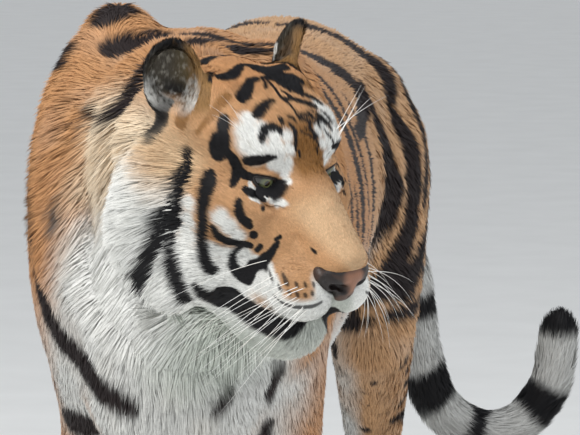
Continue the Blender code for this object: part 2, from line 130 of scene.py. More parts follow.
def noise(points, size, seed=0):
    """Smooth noise from -1 to 1 whose bumps are about one size across."""
    at = points / size + 1000.5
    cell = np.floor(at)
    part = at - cell
    part = part * part * (3 - 2 * part)
    cell = cell.astype(np.int64)
    total = np.zeros(len(points))
    for corner in np.ndindex(2, 2, 2):
        weight = np.ones(len(points))
        for axis in range(3):
            weight *= part[:, axis] if corner[axis] else 1 - part[:, axis]
        total += weight * lattice(cell + np.array(corner), seed)
    return 2 * total - 1


def unit(vectors):
    return vectors / np.maximum(np.linalg.norm(vectors, axis=1, keepdims=True), 1e-9)


# --- forms, as in the solids ------------------------------------------------------------------------------

STEPS = 6


def add_ball(form, matrix, around=40):
    name = f"ball_{around}"
    if name not in bpy.data.meshes:
        ball = bmesh.new()
        bmesh.ops.create_uvsphere(ball, u_segments=around, v_segments=around * 5 // 8, radius=1)
        ball.to_mesh(bpy.data.meshes.new(name))
        ball.free()
    ball = bpy.data.meshes[name].copy()
    ball.transform(matrix)
    form.from_mesh(ball)
    bpy.data.meshes.remove(ball)


def ellipsoid(form, place, radii, turn=(0, 0, 0), space=HEAD):
    """Adds an ellipsoid to a form; turn is in degrees about X, Y and Z."""
    matrix = Matrix.Translation(place)
    for angle, axis in zip(turn, "XYZ"):
        matrix = matrix @ Matrix.Rotation(math.radians(angle), 4, axis)
    add_ball(form, space @ matrix @ Matrix.Diagonal((*radii, 1)))


def smooth_path(stations):
    """Rows on a Catmull-Rom curve through the given ones."""
    rows = [np.array((*place, *radii), float) for place, radii in stations]
    rows = [2 * rows[0] - rows[1], *rows, 2 * rows[-1] - rows[-2]]
    path = []
    for before, here, there, after in zip(rows, rows[1:], rows[2:], rows[3:]):
        for step in range(STEPS):
            t = step / STEPS
            bend = (2 * before - 5 * here + 4 * there - after) * t**2
            twist = (3 * here - before - 3 * there + after) * t**3
            path.append((2 * here + (there - before) * t + bend + twist) / 2)
    path.append(rows[-2])
    return path


def tube(form, stations, side=(0, 1, 0), space=HEAD):
    """Adds discs that overlap along a path of stations: (place, (radius along side, radius across it))."""
    path = smooth_path(stations)
    for row, after in zip(path, path[1:]):
        for step in range(3):
            place, wide, deep = np.split(row + (after - row) * step / 3, (3, 4))
            ahead = Vector(after[:3] - row[:3]).normalized()
            across = (Vector(side) - ahead * ahead.dot(Vector(side))).normalized()
            axes = Matrix((across, ahead, across.cross(ahead))).transposed().to_4x4()
            matrix = Matrix.Translation(place) @ axes @ Matrix.Diagonal((wide[0], deep[0] * 0.6, deep[0], 1))
            add_ball(form, space @ matrix)


def head_forms(form):
    """The skull, cheeks and muzzle of the solids, before they were thinned out."""
    ellipsoid(form, (-0.105, 0, -0.006), (0.098, 0.092, 0.078))
    ellipsoid(form, (-0.050, 0, 0.010), (0.062, 0.080, 0.054))
    ellipsoid(form, (-0.085, 0, -0.085), (0.095, 0.100, 0.092))
    tube(form, (
        ((-0.030, 0, 0.014), (0.046, 0.032)),
        ((0.020, 0, -0.016), (0.040, 0.032)),
        ((0.060, 0, -0.037), (0.036, 0.031)),
        ((0.100, 0, -0.056), (0.034, 0.028)),
    ))
    tube(form, (
        ((-0.060, 0, -0.130), (0.080, 0.066)),
        ((0.010, 0, -0.144), (0.058, 0.056)),
        ((0.050, 0, -0.148), (0.046, 0.046)),
        ((0.072, 0, -0.146), (0.035, 0.034)),
    ))
    ellipsoid(form, (0.034, 0, -0.078), (0.076, 0.058, 0.050))
    for sign in SIDES.values():
        ellipsoid(form, mirrored((-0.066, 0.046, 0.014), sign), (0.062, 0.050, 0.046))
        ellipsoid(form, mirrored((-0.098, 0.048, 0.020), sign), (0.050, 0.050, 0.052))
        ellipsoid(form, mirrored((-0.048, 0.053, -0.043), sign), (0.080, 0.052, 0.062))
        ellipsoid(form, mirrored((-0.105, 0.076, -0.078), sign), (0.056, 0.056, 0.098))
        ellipsoid(form, mirrored((-0.065, 0.050, -0.112), sign), (0.078, 0.056, 0.070))
        ellipsoid(form, mirrored((-0.010, 0.034, -0.100), sign), (0.062, 0.040, 0.050))
        ellipsoid(form, mirrored((-0.075, 0.065, -0.130), sign), (0.048, 0.040, 0.080), (0, -27, 0))
        ellipsoid(form, mirrored((-0.030, 0.046, 0.024), sign), (0.029, 0.031, 0.016))
        ellipsoid(form, mirrored((-0.004, 0.030, -0.054), sign), (0.070, 0.042, 0.044), (0, 16, 0))
        ellipsoid(form, mirrored((0.069, 0.031, -0.090), sign), (0.047, 0.035, 0.037), (0, 0, -sign * 10))
        ellipsoid(form, mirrored((0.028, 0.040, -0.106), sign), (0.052, 0.026, 0.034), (0, 0, -sign * 8))
        ellipsoid(form, (0, 0, 0.003), (0.020, 0.034, 0.048), space=ear_space(sign))


BODY = Matrix.Translation(SHIFT)  # from the source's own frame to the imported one
TAIL = (
    ((0.000, 0.605, 0.772), (0.056, 0.060)),
    ((0.012, 0.690, 0.747), (0.046, 0.048)),
    ((0.070, 0.800, 0.640), (0.038, 0.039)),
    ((0.132, 0.885, 0.500), (0.037, 0.037)),
    ((0.146, 0.940, 0.375), (0.037, 0.037)),
    ((0.180, 0.975, 0.275), (0.037, 0.037)),
    ((0.262, 1.000, 0.240), (0.037, 0.037)),
    ((0.328, 1.010, 0.300), (0.036, 0.036)),
    ((0.345, 1.010, 0.385), (0.034, 0.034)),
)
PAWS = {
    "forepaw_left": ((0.105, -0.545), 0.130, 0.154),
    "forepaw_right": ((-0.105, -0.425), 0.130, 0.154),
    "hindpaw_left": ((0.115, 0.450), 0.114, 0.146),
    "hindpaw_right": ((-0.115, 0.585), 0.114, 0.146),
}
TOES = ((-0.36, -0.34, 0.027), (-0.13, -0.46, 0.030), (0.13, -0.46, 0.030), (0.36, -0.34, 0.027))


def body_forms(form):
    """The neck up to the skull, the tail and the toes of the solids."""
    skull_back = BODY.inverted() @ HEAD @ Vector((-0.125, 0, -0.045))
    tube(form, (
        ((0, -0.300, 0.770), (0.105, 0.128)),
        ((0, -0.450, 0.755), (0.112, 0.150)),
        ((0.010, -0.540, 0.742), (0.106, 0.138)),
        (skull_back, (0.098, 0.104)),
    ), (1, 0, 0), BODY)
    ellipsoid(form, (0.040, -0.555, 0.655), (0.098, 0.085, 0.120), (12, 0, 10), BODY)
    ellipsoid(form, (-0.002, -0.548, 0.632), (0.088, 0.078, 0.112), space=BODY)
    ellipsoid(form, (0.012, -0.500, 0.560), (0.102, 0.092, 0.130), (8, 0, 0), BODY)
    tube(form, TAIL, (1, 0, 0), BODY)
    tip = Vector(TAIL[-1][0])
    ellipsoid(form, tip, (0.034, 0.034, 0.034), space=BODY)
    for (x, y), width, length in PAWS.values():
        ellipsoid(form, (x, y - 0.010, 0.038), (width * 0.48, length * 0.46, 0.046), space=BODY)
        for across, ahead, size in TOES:
            place = (x + across * width, y + ahead * length, size)
            ellipsoid(form, place, (size * 0.86, size * 1.30, size * 1.08), (0, 0, across * 40), BODY)


# --- the skin ---------------------------------------------------------------------------------------------

FLESH = [name for name in NODES if not name.startswith(("eye", "nose"))]
REBUILT = [name for name in FLESH if name.startswith(("head", "muzzle", "lower_jaw", "ear", "tail"))]
VOXEL = 0.0046
OVERLAP = 0.0006  # the solids grow by this, which closes the saw cuts between them


def mesh_object(name, form):
    mesh = bpy.data.meshes.new(name)
    form.to_mesh(mesh)
    form.free()
    thing = bpy.data.objects.new(name, mesh)
    bpy.context.scene.collection.objects.link(thing)
    return thing


def baked(thing):
    """The object's mesh with its modifiers applied."""
    graph = bpy.context.evaluated_depsgraph_get()
    mesh = bpy.data.meshes.new_from_object(thing.evaluated_get(graph))
    thing.modifiers.clear()
    old, thing.data = thing.data, mesh
    bpy.data.meshes.remove(old)


def coordinates(mesh):
    co = np.empty(len(mesh.vertices) * 3)
    mesh.vertices.foreach_get("co", co)
    return co.reshape(-1, 3)


def set_coordinates(mesh, co):
    mesh.vertices.foreach_set("co", co.ravel())
    mesh.update()


def normals(mesh):
    co = np.empty(len(mesh.vertices) * 3, np.float32)
    mesh.vertex_normals.foreach_get("vector", co)
    return co.reshape(-1, 3).astype(float)


def edges(mesh):
    ends = np.empty(len(mesh.edges) * 2, np.int32)
    mesh.edges.foreach_get("vertices", ends)
    return ends.reshape(-1, 2).T


def relaxed(values, ends, rounds, weight=1):
    """The values, each drawn halfway to the mean of its neighbours' in each round."""
    start, end = ends
    count = len(values)
    links = np.maximum(np.bincount(start, minlength=count) + np.bincount(end, minlength=count), 1)
    values = values.copy()
    share = np.broadcast_to(np.asarray(weight, float) / 2, (count,))
    for _ in range(rounds):
        for column in range(values.shape[1]):
            here = values[:, column]
            total = np.bincount(start, here[end], count) + np.bincount(end, here[start], count)
            values[:, column] = here + share * (total / links - here)
    return values


def nearest_nodes(points):
    """For each point, the index in FLESH of the node whose surface is nearest."""
    corners, faces, owner = [], [], []
    for index, name in enumerate(FLESH):
        mesh = NODES[name].data
        start = len(corners)
        corners.extend(vertex.co for vertex in mesh.vertices)
        for face in mesh.polygons:
            faces.append([start + corner for corner in face.vertices])
            owner.append(index)
    tree = BVHTree.FromPolygons(corners, faces)
    return np.array([owner[tree.find_nearest(point)[2]] for point in points])


def base_skin():
    form = bmesh.new()
    for name in FLESH:
        if name in REBUILT:
            continue
        mesh = NODES[name].data.copy()
        co = coordinates(mesh) + normals(mesh) * OVERLAP
        set_coordinates(mesh, co)
        form.from_mesh(mesh)
        bpy.data.meshes.remove(mesh)
    head_forms(form)
    body_forms(form)
    skin = mesh_object("skin", form)
    remesh = skin.modifiers.new("Melt", "REMESH")
    remesh.mode = "VOXEL"
    remesh.voxel_size = VOXEL
    baked(skin)
    return skin


def without_inner_shells(skin):
    """Removes the small closed shells that a melt leaves inside."""
    start, end = edges(skin.data)
    label = np.arange(len(skin.data.vertices))
    while True:
        lowest = label.copy()
        np.minimum.at(lowest, start, label[end])
        np.minimum.at(lowest, end, label[start])
        lowest = lowest[lowest]
        if (lowest == label).all():
            break
        label = lowest
    main = np.bincount(label).argmax()
    form = bmesh.new()
    form.from_mesh(skin.data)
    inner = [vertex for vertex, own in zip(form.verts, label) if own != main]
    bmesh.ops.delete(form, geom=inner, context="VERTS")
    form.to_mesh(skin.data)
    form.free()


# How each node's coat grows: its depth over the skin, a tuft's length and width, all in millimetres, how
# far it stands off in degrees, and how many tufts grow on a square centimetre, before all the densities are
# brought to TUFTS by one factor
COAT = {
    "head": (3, 7.5, 0.8, 13, 92),
    "muzzle": (2, 3.8, 0.6, 10, 150),
    "lower_jaw": (3, 12, 0.9, 18, 90),
    "ear": (2, 10, 0.8, 18, 90),
    "neck": (14, 38, 1.7, 24, 27),
    "chest": (9, 30, 1.8, 18, 21),
    "shoulder": (6, 19, 1.6, 12, 22),
    "barrel": (6, 22, 2.2, 14, 11),
    "rump": (6, 22, 2.2, 14, 11),
    "thigh": (6, 21, 2.1, 13, 11),
    "forearm": (4, 15, 1.8, 13, 13),
    "shank": (4, 15, 1.8, 13, 11),
    "metatarsus": (3, 11, 1.6, 13, 13),
    "forepaw": (3, 9, 1.4, 12, 18),
    "hindpaw": (3, 9, 1.4, 12, 16),
    "tail": (8, 25, 1.8, 18, 24),
}


def node_stem(name):
    """The name under which COAT and LIE have a node."""
    return next(stem for stem in (name, name.rsplit("_", 1)[0], name.split("_")[0]) if stem in COAT)


STEMS = np.array([node_stem(name) for name in FLESH])


def coat_rows(owner):
    """COAT's numbers for each vertex, by the node it is nearest to."""
    return np.array([COAT[stem] for stem in STEMS], float)[owner]


# --- a chart of the head: degrees back from the nose, and degrees round it, 0 up the bridge ------------

CHART_MIDDLE = np.array((-0.060, 0, -0.035))
HEAD_REACH = 0.24  # the head ends this far from the chart's middle
CHART_AHEAD = np.array((1, 0, -0.1)) / math.hypot(1, 0.1)
CHART_UP = np.array((0.1, 0, 1)) / math.hypot(1, 0.1)


def chart(points):
    """(degrees back, degrees round) of points in head space; round is positive on the tiger's right."""
    rays = unit(points - CHART_MIDDLE)
    back = np.degrees(np.arccos(np.clip(rays @ CHART_AHEAD, -1, 1)))
    round_nose = np.degrees(np.arctan2(-rays[:, 1], rays @ CHART_UP))
    return back, round_nose


def chart_ray(back, round_nose):
    back, round_nose = math.radians(back), math.radians(round_nose)
    aside = np.array((0, -1, 0)) * math.sin(round_nose) + CHART_UP * math.cos(round_nose)
    return CHART_AHEAD * math.cos(back) + aside * math.sin(back)


# --- the eyes' own space: out through the opening, towards the inner corner, up -------------------------

GAZE = (0.960, 0.280, 0.03)  # a little outwards
LID_AXIS = (0.10, -0.95, -0.22)  # towards the inner corner, which is lower
OPENING = (54, 46)  # from the gaze out to the outer and to the inner corner, in degrees
UPPER_LID = 21
LOWER_LID = 27
UPPER_SKEW = 0.12  # how much wider the lids open towards the inner corner
LOWER_SKEW = 0.10
ALONG_POWER = 2.2  # the opening's outline, as powers along the eye and up from its middle
RISE_POWER = 1.7


def eye_axes(sign):
    gaze = Vector(mirrored(GAZE, sign)).normalized()
    inward = Vector(mirrored(LID_AXIS, sign))
    inward = (inward - gaze * inward.dot(gaze)).normalized()
    up = gaze.cross(inward) if sign < 0 else inward.cross(gaze)
    return np.array((gaze, inward, up))


def eye_angles(points, sign):
    """For points in head space: their distance from the eyeball's middle and how far outside the lids'
    opening they lie, where 1 is its edge."""
    away = points - np.array(mirrored(EYE, sign))
    local = away @ eye_axes(sign).T
    distance = np.linalg.norm(away, axis=1)
    across = np.degrees(np.arctan2(local[:, 1], np.maximum(local[:, 0], 1e-6)))
    across = np.where(local[:, 0] > 0, across, 180)
    rise = np.degrees(np.arcsin(np.clip(local[:, 2] / np.maximum(distance, 1e-6), -1, 1)))
    along = np.clip(across / np.where(across < 0, *OPENING), -3, 3)
    height = np.where(rise > 0, UPPER_LID, LOWER_LID)
    skew = np.where(rise > 0, UPPER_SKEW, LOWER_SKEW) * np.clip(along, -1.5, 1.5)
    outside = np.abs(along) ** ALONG_POWER + (np.abs(rise) / (height * (1 + skew))) ** RISE_POWER
    return distance, np.where(local[:, 0] > -0.004, outside, 99)


# --- sculpting the face ----------------------------------------------------------------------------------

GROUND = 0.0006  # the lowest that skin or hair reaches
FACE_CUTS = 3  # new rows of faces in each of the melt's own
EAR_CUTS = 1
LID_THICKNESS = 0.0019

TEAR_TAPER = 0.0025  # how much narrower the tear line is at its end
TEAR_LINE = ((-0.0020, 0.0350, -0.0030), (0.0080, 0.0350, -0.0080), (0.0180, 0.0320, -0.0130))
MOUTH_LINE = (
    (0.1080, 0.000, -0.1110), (0.1030, 0.016, -0.1180), (0.0880, 0.034, -0.1260),
    (0.0690, 0.0480, -0.1330), (0.0500, 0.0560, -0.1370), (0.0310, 0.0590, -0.1410),
)


def from_line(points, line):
    """Each point's distance from a line through the given places, and how far along it from 0 to 1."""
    line = np.array(line, float)
    best = np.full(len(points), 9.0)
    along = np.zeros(len(points))
    for index, (start, end) in enumerate(zip(line, line[1:])):
        run = end - start
        t = np.clip((points - start) @ run / (run @ run), 0, 1)
        distance = np.linalg.norm(points - start - t[:, None] * run, axis=1)
        nearer = distance < best
        best[nearer] = distance[nearer]
        along[nearer] = (index + t[nearer]) / (len(line) - 1)
    return best, along


def folded(points):
    """The points of both sides of the head, brought to its left side."""
    flipped = points.copy()
    flipped[:, 1] = np.abs(flipped[:, 1])
    return flipped


def from_pair(points, place):
    """How far points in head space are from a place or from its mirror image, whichever is nearer."""
    both = [np.linalg.norm(points - np.array(mirrored(place, sign)), axis=1) for sign in (1, -1)]
    return np.min(both, axis=0)


def refined(skin):
    """Finer faces on the front of the head, where the lids and lips are."""
    form = bmesh.new()
    form.from_mesh(skin.data)
    co = to_head(coordinates(skin.data))
    fine = (co[:, 0] > -0.045) & (co[:, 2] > -0.165) & (np.abs(co[:, 1]) < 0.085) & (co[:, 2] < 0.035)
    ear = from_pair(co, EAR) < 0.056
    chosen = [
        [edge for edge in form.edges if part[edge.verts[0].index] and part[edge.verts[1].index]]
        for part in (ear & ~fine, fine)
    ]
    for part, cuts in zip(chosen, (EAR_CUTS, FACE_CUTS)):
        bmesh.ops.subdivide_edges(form, edges=part, cuts=cuts, use_grid_fill=True)
    form.to_mesh(skin.data)
    form.free()


def lidded(points):
    """Points in head space with the skin brought round each eyeball and opened over it."""
    for sign in SIDES.values():
        distance, outside = eye_angles(points, sign)
        middle = np.array(mirrored(EYE, sign))
        ray = unit(points - middle)
        hug = (1 - ramp(outside, 1.3, 4.5)) * (1 - ramp(distance, 0.028, 0.046))
        near = distance < 0.047
        lid = EYE_RADIUS + LID_THICKNESS + 0.0016 * ramp(outside, 1.0, 1.6)
        radius = np.maximum(lid * hug + distance * (1 - hug), EYE_RADIUS + 0.0012)
        sunk = EYE_RADIUS - 0.0030
        radius = np.where(outside < 1, sunk + (distance - sunk) * ramp(distance, 0.0225, 0.0310), radius)
        radius = np.where(outside > 20, distance, radius)
        points = np.where(near[:, None], middle + ray * radius[:, None], points)
    return points


def eye_surround(points):
    """1 on the skin round the eyes that may be smoothed, 0 elsewhere."""
    share = np.zeros(len(points))
    for sign in SIDES.values():
        distance, outside = eye_angles(points, sign)
        share += ramp(outside, 1.05, 1.4) * (1 - ramp(distance, 0.044, 0.052))
    return share


def from_ear_middle(y, z):
    """How far places in an ear's space are from the middle of its hollow, where 1 is the hollow's edge."""
    return np.sqrt((y / 0.0315) ** 2 + ((z - 0.008) / 0.0400) ** 2)


def cupped(points):
    """Points in head space with the hollow taken out of each ear."""
    for sign in SIDES.values():
        space = HEAD.inverted() @ ear_space(sign)
        turn, place = np.array(space.to_3x3()), np.array(space.translation)
        local = (points - place) @ turn
        x, y, z = local.T
        rim = from_ear_middle(y, z)
        back = -0.021 * np.sqrt(np.clip(1 - (y / 0.036) ** 2 - ((z - 0.003) / 0.049) ** 2, 0, 1)) + 0.006
        hollow = (rim < 1) & (x > back) & (x < 0.045)
        deep = ramp(1 - rim, 0, 0.30)
        local[:, 0] = np.where(hollow, x + (back - x) * deep, x)
        points = local @ turn.T + place
    return points


def pressed(points, outward, line, reach, depth):
    """Presses the skin in along a line by up to the given depth."""
    distance, _ = from_line(folded(points), line)
    return points - outward * (depth * np.exp(-((distance / reach) ** 2)))[:, None]


def bulged(points, outward, place, reach, height):
    """Raises the skin around a place and its mirror image."""
    away = np.linalg.norm((folded(points) - np.array(place)) / np.array(reach), axis=1)
    return points + outward * (height * np.exp(-(away**2)))[:, None]


def sculpted(skin):
    mesh = skin.data
    points = to_head(coordinates(mesh))
    outward = normals(mesh) @ HEAD_TURN
    near = np.linalg.norm(points - (0.02, 0, -0.05), axis=1) < 0.20
    face, out = points[near], outward[near]
    face = bulged(face, out, (-0.004, 0.040, 0.026), (0.016, 0.022, 0.010), 0.0030)
    face = bulged(face, out, (0.010, 0.062, -0.040), (0.030, 0.020, 0.020), 0.0020)
    face = pressed(face, out, ((0.024, 0.031, -0.026), (0.066, 0.034, -0.056)), 0.013, 0.0018)
    face = pressed(face, out, ((0.117, 0, -0.094), (0.111, 0, -0.112)), 0.0028, 0.0045)
    face = pressed(face, out, MOUTH_LINE, 0.0042, 0.0080)
    face = bulged(face, out, (0.106, 0, -0.066), (0.020, 0.026, 0.015), -0.011)
    face = pressed(face, out, ((-0.02, 0, 0.045), (-0.06, 0, 0.070)), 0.012, 0.0025)
    points[near] = lidded(face)
    points = relaxed(points, edges(mesh), 10, eye_surround(points))
    points[near] = pressed(lidded(points[near]), out, TEAR_LINE, 0.0036, 0.0018)
    points = from_head(cupped(points))
    points[:, 2] = np.maximum(points[:, 2], GROUND)
    set_coordinates(mesh, points)


def rounded(skin, owner):
    """Rounds off the flats of the solids, most of all on the trunk."""
    co = coordinates(skin.data)
    ends = edges(skin.data)
    names = np.array([name.split("_")[0] for name in FLESH])[owner]
    broad = np.isin(names, ("neck", "chest", "barrel", "rump", "shoulder", "thigh")).astype(float)
    limb = np.isin(names, ("forearm", "shank", "metatarsus", "tail")).astype(float)
    broad = relaxed(broad[:, None], ends, 12)[:, 0]
    limb = relaxed(limb[:, None], ends, 8)[:, 0]
    co = relaxed(co, ends, 70, np.maximum(broad, 0.45 * limb))
    co = relaxed(co, ends, 16, limb)
    co = relaxed(co, ends, 3)
    set_coordinates(skin.data, co)


def skin_depth(points, rows, ends):
    """How deep the skin lies under the solids' surface at each vertex."""
    depth = rows[:, 0] / 1000 + OVERLAP
    head = to_head(points)
    back, round_nose = chart(head)
    cheek = ramp(back, 62, 92) * ramp(np.abs(round_nose), 45, 90)
    throat = ramp(np.abs(round_nose), 130, 165) * ramp(back, 45, 75)
    on_head = np.linalg.norm(head - CHART_MIDDLE, axis=1) < HEAD_REACH
    near_ear = from_pair(head, EAR)
    extra = np.maximum(cheek * 0.010, throat * 0.008) * on_head * ramp(near_ear, 0.04, 0.07)
    depth = depth + extra
    return relaxed(depth[:, None], ends, 12)[:, 0]


def make_skin():
    skin = base_skin()
    without_inner_shells(skin)
    owner = nearest_nodes(coordinates(skin.data))
    rounded(skin, owner)
    refined(skin)
    co = coordinates(skin.data)
    ends = edges(skin.data)
    owner = nearest_nodes(co)
    rows = coat_rows(owner)
    fine = (np.linalg.norm(to_head(co) - (0.03, 0, -0.06), axis=1) < 0.13).astype(float)
    co = relaxed(co, ends, 6, fine)
    set_coordinates(skin.data, co)
    depth = skin_depth(co, rows, ends)
    set_coordinates(skin.data, co - normals(skin.data) * depth[:, None])
    co = relaxed(coordinates(skin.data), ends, 2)
    set_coordinates(skin.data, co)
    sculpted(skin)
    skin.data.shade_smooth()
    return skin, owner


skin, owner = make_skin()


# --- the markings: strokes along (degrees back, degrees round, half width in degrees) ---------------------

# Black on both sides of the face
FACE_STROKES = (
    ((104, 70, 2.0), (101.5, 77, 3.0), (99, 84, 3.6), (97, 91, 4.0), (94, 98, 4.1), (92, 105, 4.2),
     (90.5, 112, 4.0), (88.5, 117.5, 3.0)),
    ((127, 58, 2.5), (125.5, 65, 5.0), (123, 73, 5.0), (120, 80, 2.5)),
    ((88, 122, 1.5), (85, 126, 2.4), (81, 130, 3.4), (78, 135, 4.2), (75, 140, 4.2), (73, 146, 3.0)),
    ((80, 74, 4.4), (78, 78, 5.8), (75.5, 85, 4.6), (72.5, 92, 3.8), (69.5, 99, 3.6), (68, 107, 3.4),
     (67, 115, 3.2), (65, 122, 2.8), (62, 126.5, 2.2), (58.5, 130, 1.6)),
    ((62, 99, 1.8), (58.5, 104, 2.4), (53, 105, 2.6), (48, 104.5, 2.4), (43, 104.5, 2.4), (40, 105, 2.0)),
    ((45, 108, 2.0), (47, 114, 1.3), (49, 122, 2.0), (48.5, 128, 2.4), (45, 131, 2.4), (41, 130, 2.2),
     (38, 124, 2.0),
     (35, 120, 2.0), (32.5, 115, 2.0), (31, 110, 1.8), (29, 103, 1.6), (28, 98, 1.2), (26.5, 92, 0.8)),
    ((36, 107, 1.0), (34.5, 102, 1.2)), ((40, 92.5, 2.0), (39.5, 93, 2.0)),
    ((55.5, 75, 1.8), (53, 80, 2.5), (49.5, 83, 2.2), (45.5, 84.5, 2.2), (43.5, 86, 1.4)),
    ((57, 66, 1.5), (54, 66, 2.1), (49, 64.5, 1.8), (43, 63, 0.9)),
    ((41.5, 69.5, 0.9), (41, 70, 0.9)), ((28, 90, 0.6), (26, 86, 0.7)), ((13.5, 76, 0.4), (13.4, 77, 0.4)),
    ((98, 110, 1.2), (95, 117, 2.0), (92.5, 124, 2.8), (92, 131, 3.4), (93, 140, 3.8), (94, 148, 3.6),
     (94, 155, 2.0)),
    ((115, 26, 2.8), (117.5, 20, 3.3), (120, 14, 3.0), (123, 6, 2.2), (125, 1, 1.4)),
    ((137, 18, 1.6), (140, 13, 2.4), (141, 5, 2.2)),
    ((112, 2, 1.5), (111.5, 9, 2.2), (108, 14, 3.0), (104, 20, 3.3), (101, 26, 2.6)),
    ((95, 4, 1.3), (93, 10, 2.8), (90.5, 17, 3.5), (87.5, 23, 3.5), (85.5, 26, 2.4)),
    ((94, 43, 2.4), (90.5, 46, 3.2), (87.5, 49.5, 2.8), (86, 53, 5.4), (84.5, 56, 6.2), (83.5, 58, 4.8)),
    ((79, 54, 1.4), (74, 55.5, 2.6), (70, 57, 3.0), (67.5, 61, 3.0), (65.5, 66, 2.4), (64.5, 69.5, 1.4)),
    ((68, 58, 2.8), (62.5, 58, 2.7), (58.5, 56, 2.2), (55.5, 52, 1.5)),
    ((68, 50, 1.9), (66, 48, 2.4), (62.5, 43, 2.4), (60.5, 38, 1.8), (58, 32, 0.9)),
    ((70.5, 35, 1.1), (73, 32, 2.2), (76, 27, 2.8), (75.5, 22, 2.6), (72, 18.5, 1.8), (69, 19, 1.1)),
    ((78, 13, 1.4), (75, 14, 1.4)), ((77.5, 6, 1.1), (76, 3, 1.1), (74, 3, 0.9)),
    ((72, 9, 1.2), (68, 7.5, 1.3), (64, 9, 1.2), (60, 11, 1.0), (56, 13, 0.8)),
    ((54.5, 10.5, 0.8), (51, 11, 0.8)),
)

# Brown ones on the temple
TEMPLE_STROKES = (
    ((116, 44, 3), (113, 52, 4), (112, 60, 3)),
    ((103.5, 32, 1.5), (102, 38, 2.0), (100, 45, 2.2), (99.5, 51, 1.7), (101, 58, 1.0)),
)

# Black on the crown and the forehead's far side, which differs from the near one
CROWN_STROKES = (
    ((150, -90, 3.5), (140, -105, 3.5), (134, -106, 1.6)),
    ((121, -4, 1.8), (116, -10, 3.0), (112.5, -17, 3.0), (109, -22, 2.4), (104, -30, 1.5)),
    ((99, -24, 1.6), (93.5, -29.5, 2.2), (88, -34, 1.5)), ((101, -10, 1.1), (98, -14, 1.8), (95, -13, 2.2)),
    ((126, -22, 1.3), (123, -28, 2.0), (119, -33, 2.0), (113, -33, 1.1)),
    ((111, -1, 1.0), (108.5, -1, 1.1), (105, 2, 0.9)),
    ((110, -4, 1.0), (104, -5, 1.0), (97, -5, 1.0), (91, -5, 1.0), (85, -4, 1.0), (79, -2.5, 0.8),
     (75, -1.5, 0.6)),
    ((78, -5, 1.0), (77, -11, 1.3), (74.5, -16, 1.2), (71, -17, 0.8)),
    ((75, -3, 0.8), (73, -9, 1.0), (70.5, -14, 0.7)),
    ((81, -17, 0.8), (79.5, -24, 1.2), (76.5, -29, 1.0)), ((82, -30, 1.1), (75.5, -37, 1.1)),
    ((68, -3, 0.5), (65, -9, 0.7), (62, -14, 0.6)), ((66, 2, 0.5), (63, -4, 0.6), (60, -9, 0.5)),
    ((68, -25, 1.0), (63, -31, 1.1), (59, -35, 0.9)),
)

# Whisker spots on each side of the muzzle, and the dark lines over the lip
WHISKER_SPOTS = (
    (25, 113.5, 0.7), (21.5, 113, 0.3), (18.5, 112.5, 0.3), (15.5, 113, 0.3), (30, 118, 0.3),
    (27.5, 119.5, 0.3), (24.5, 119.5, 0.35), (22, 119.5, 0.4), (19.5, 119.5, 0.35), (17, 119.5, 0.3),
)
LIP_LINE = (
    (30, 127, 0.1), (27.5, 129, 0.3), (24, 129.5, 0.4), (20.5, 129.5, 0.4), (18, 130.5, 0.3), (15, 132, 0.1),
)
LIPS = (
    (21, 173, 2.4), (26, 163, 3.8), (31, 157.5, 4.4), (37, 153.5, 4.6), (44, 150, 4.8), (50, 147.5, 5.0),
    (57, 147, 4.6), (62, 150, 4.0), (64, 144, 3.2), (66.5, 137, 1.4),
)

# White patches: (degrees back, degrees round, reach in degrees)
WHITE_PATCHES = (
    (53, 32, 6), (48, 28, 5), (58, 30, 5), (64, 26, 5), (60, 26, 4), (57, 27, 4), (66, 28, 5), (86, 32, 6),
    (80, 38, 8), (76, 30, 7), (74, 42, 8), (68, 40, 9), (70, 24, 6), (62, 33, 7), (56, 36, 5), (66, 16, 5),
    (58, 19, 5), (51, 24, 4), (45, 30, 4), (40, 32, 3), (31, 53, 3), (34, 57, 3.4), (38, 58, 3.2),
    (43, 61, 2.6),
    (60, 90, 6), (54, 93, 6), (48, 97, 5), (44, 116, 7), (52, 120, 8), (60, 118, 7), (36, 118, 4),
    (45, 130, 9),
    (55, 136, 10), (33, 125, 5), (30, 131, 4), (66, 128, 8), (83, 98, 6), (80, 108, 7), (78, 118, 8),
    (13, 128, 5), (14, 140, 6), (31, 118, 4), (30, 124, 4), (39, 121, 5), (38, 129, 6),
)


def chart_points(back, round_nose):
    """Places of the chart as points of a unit ball."""
    rise, turn = np.radians(back), np.radians(round_nose)
    return np.stack((np.cos(rise), np.sin(rise) * np.cos(turn), np.sin(rise) * np.sin(turn)), -1)


def near_strokes(back, round_nose, strokes, fuzz):
    """How black each place is, from 0 to 1, under strokes on the chart."""
    dark = np.zeros(len(back))
    here = chart_points(back, round_nose)
    for stroke in strokes:
        stroke = np.array(stroke, float)
        line = chart_points(stroke[:, 0], stroke[:, 1])
        middle = line.mean(0)
        reach = np.linalg.norm(line - middle, axis=1).max() + np.radians(stroke[:, 2].max() + 3)
        close = np.flatnonzero(np.linalg.norm(here - middle, axis=1) < reach)
        if not len(close):
            continue
        spot = here[close]
        for start, end, wide, wide_end in zip(line, line[1:], stroke[:, 2], stroke[1:, 2]):
            run = end - start
            t = np.clip((spot - start) @ run / max(run @ run, 1e-12), 0, 1)
            gap = np.degrees(np.linalg.norm(spot - start - t[:, None] * run, axis=1))
            over = (wide + (wide_end - wide) * t) * 1.1 + 0.3 + fuzz[close] - gap
            dark[close] = np.maximum(dark[close], ramp(over, -0.25, 0.35))
    return dark


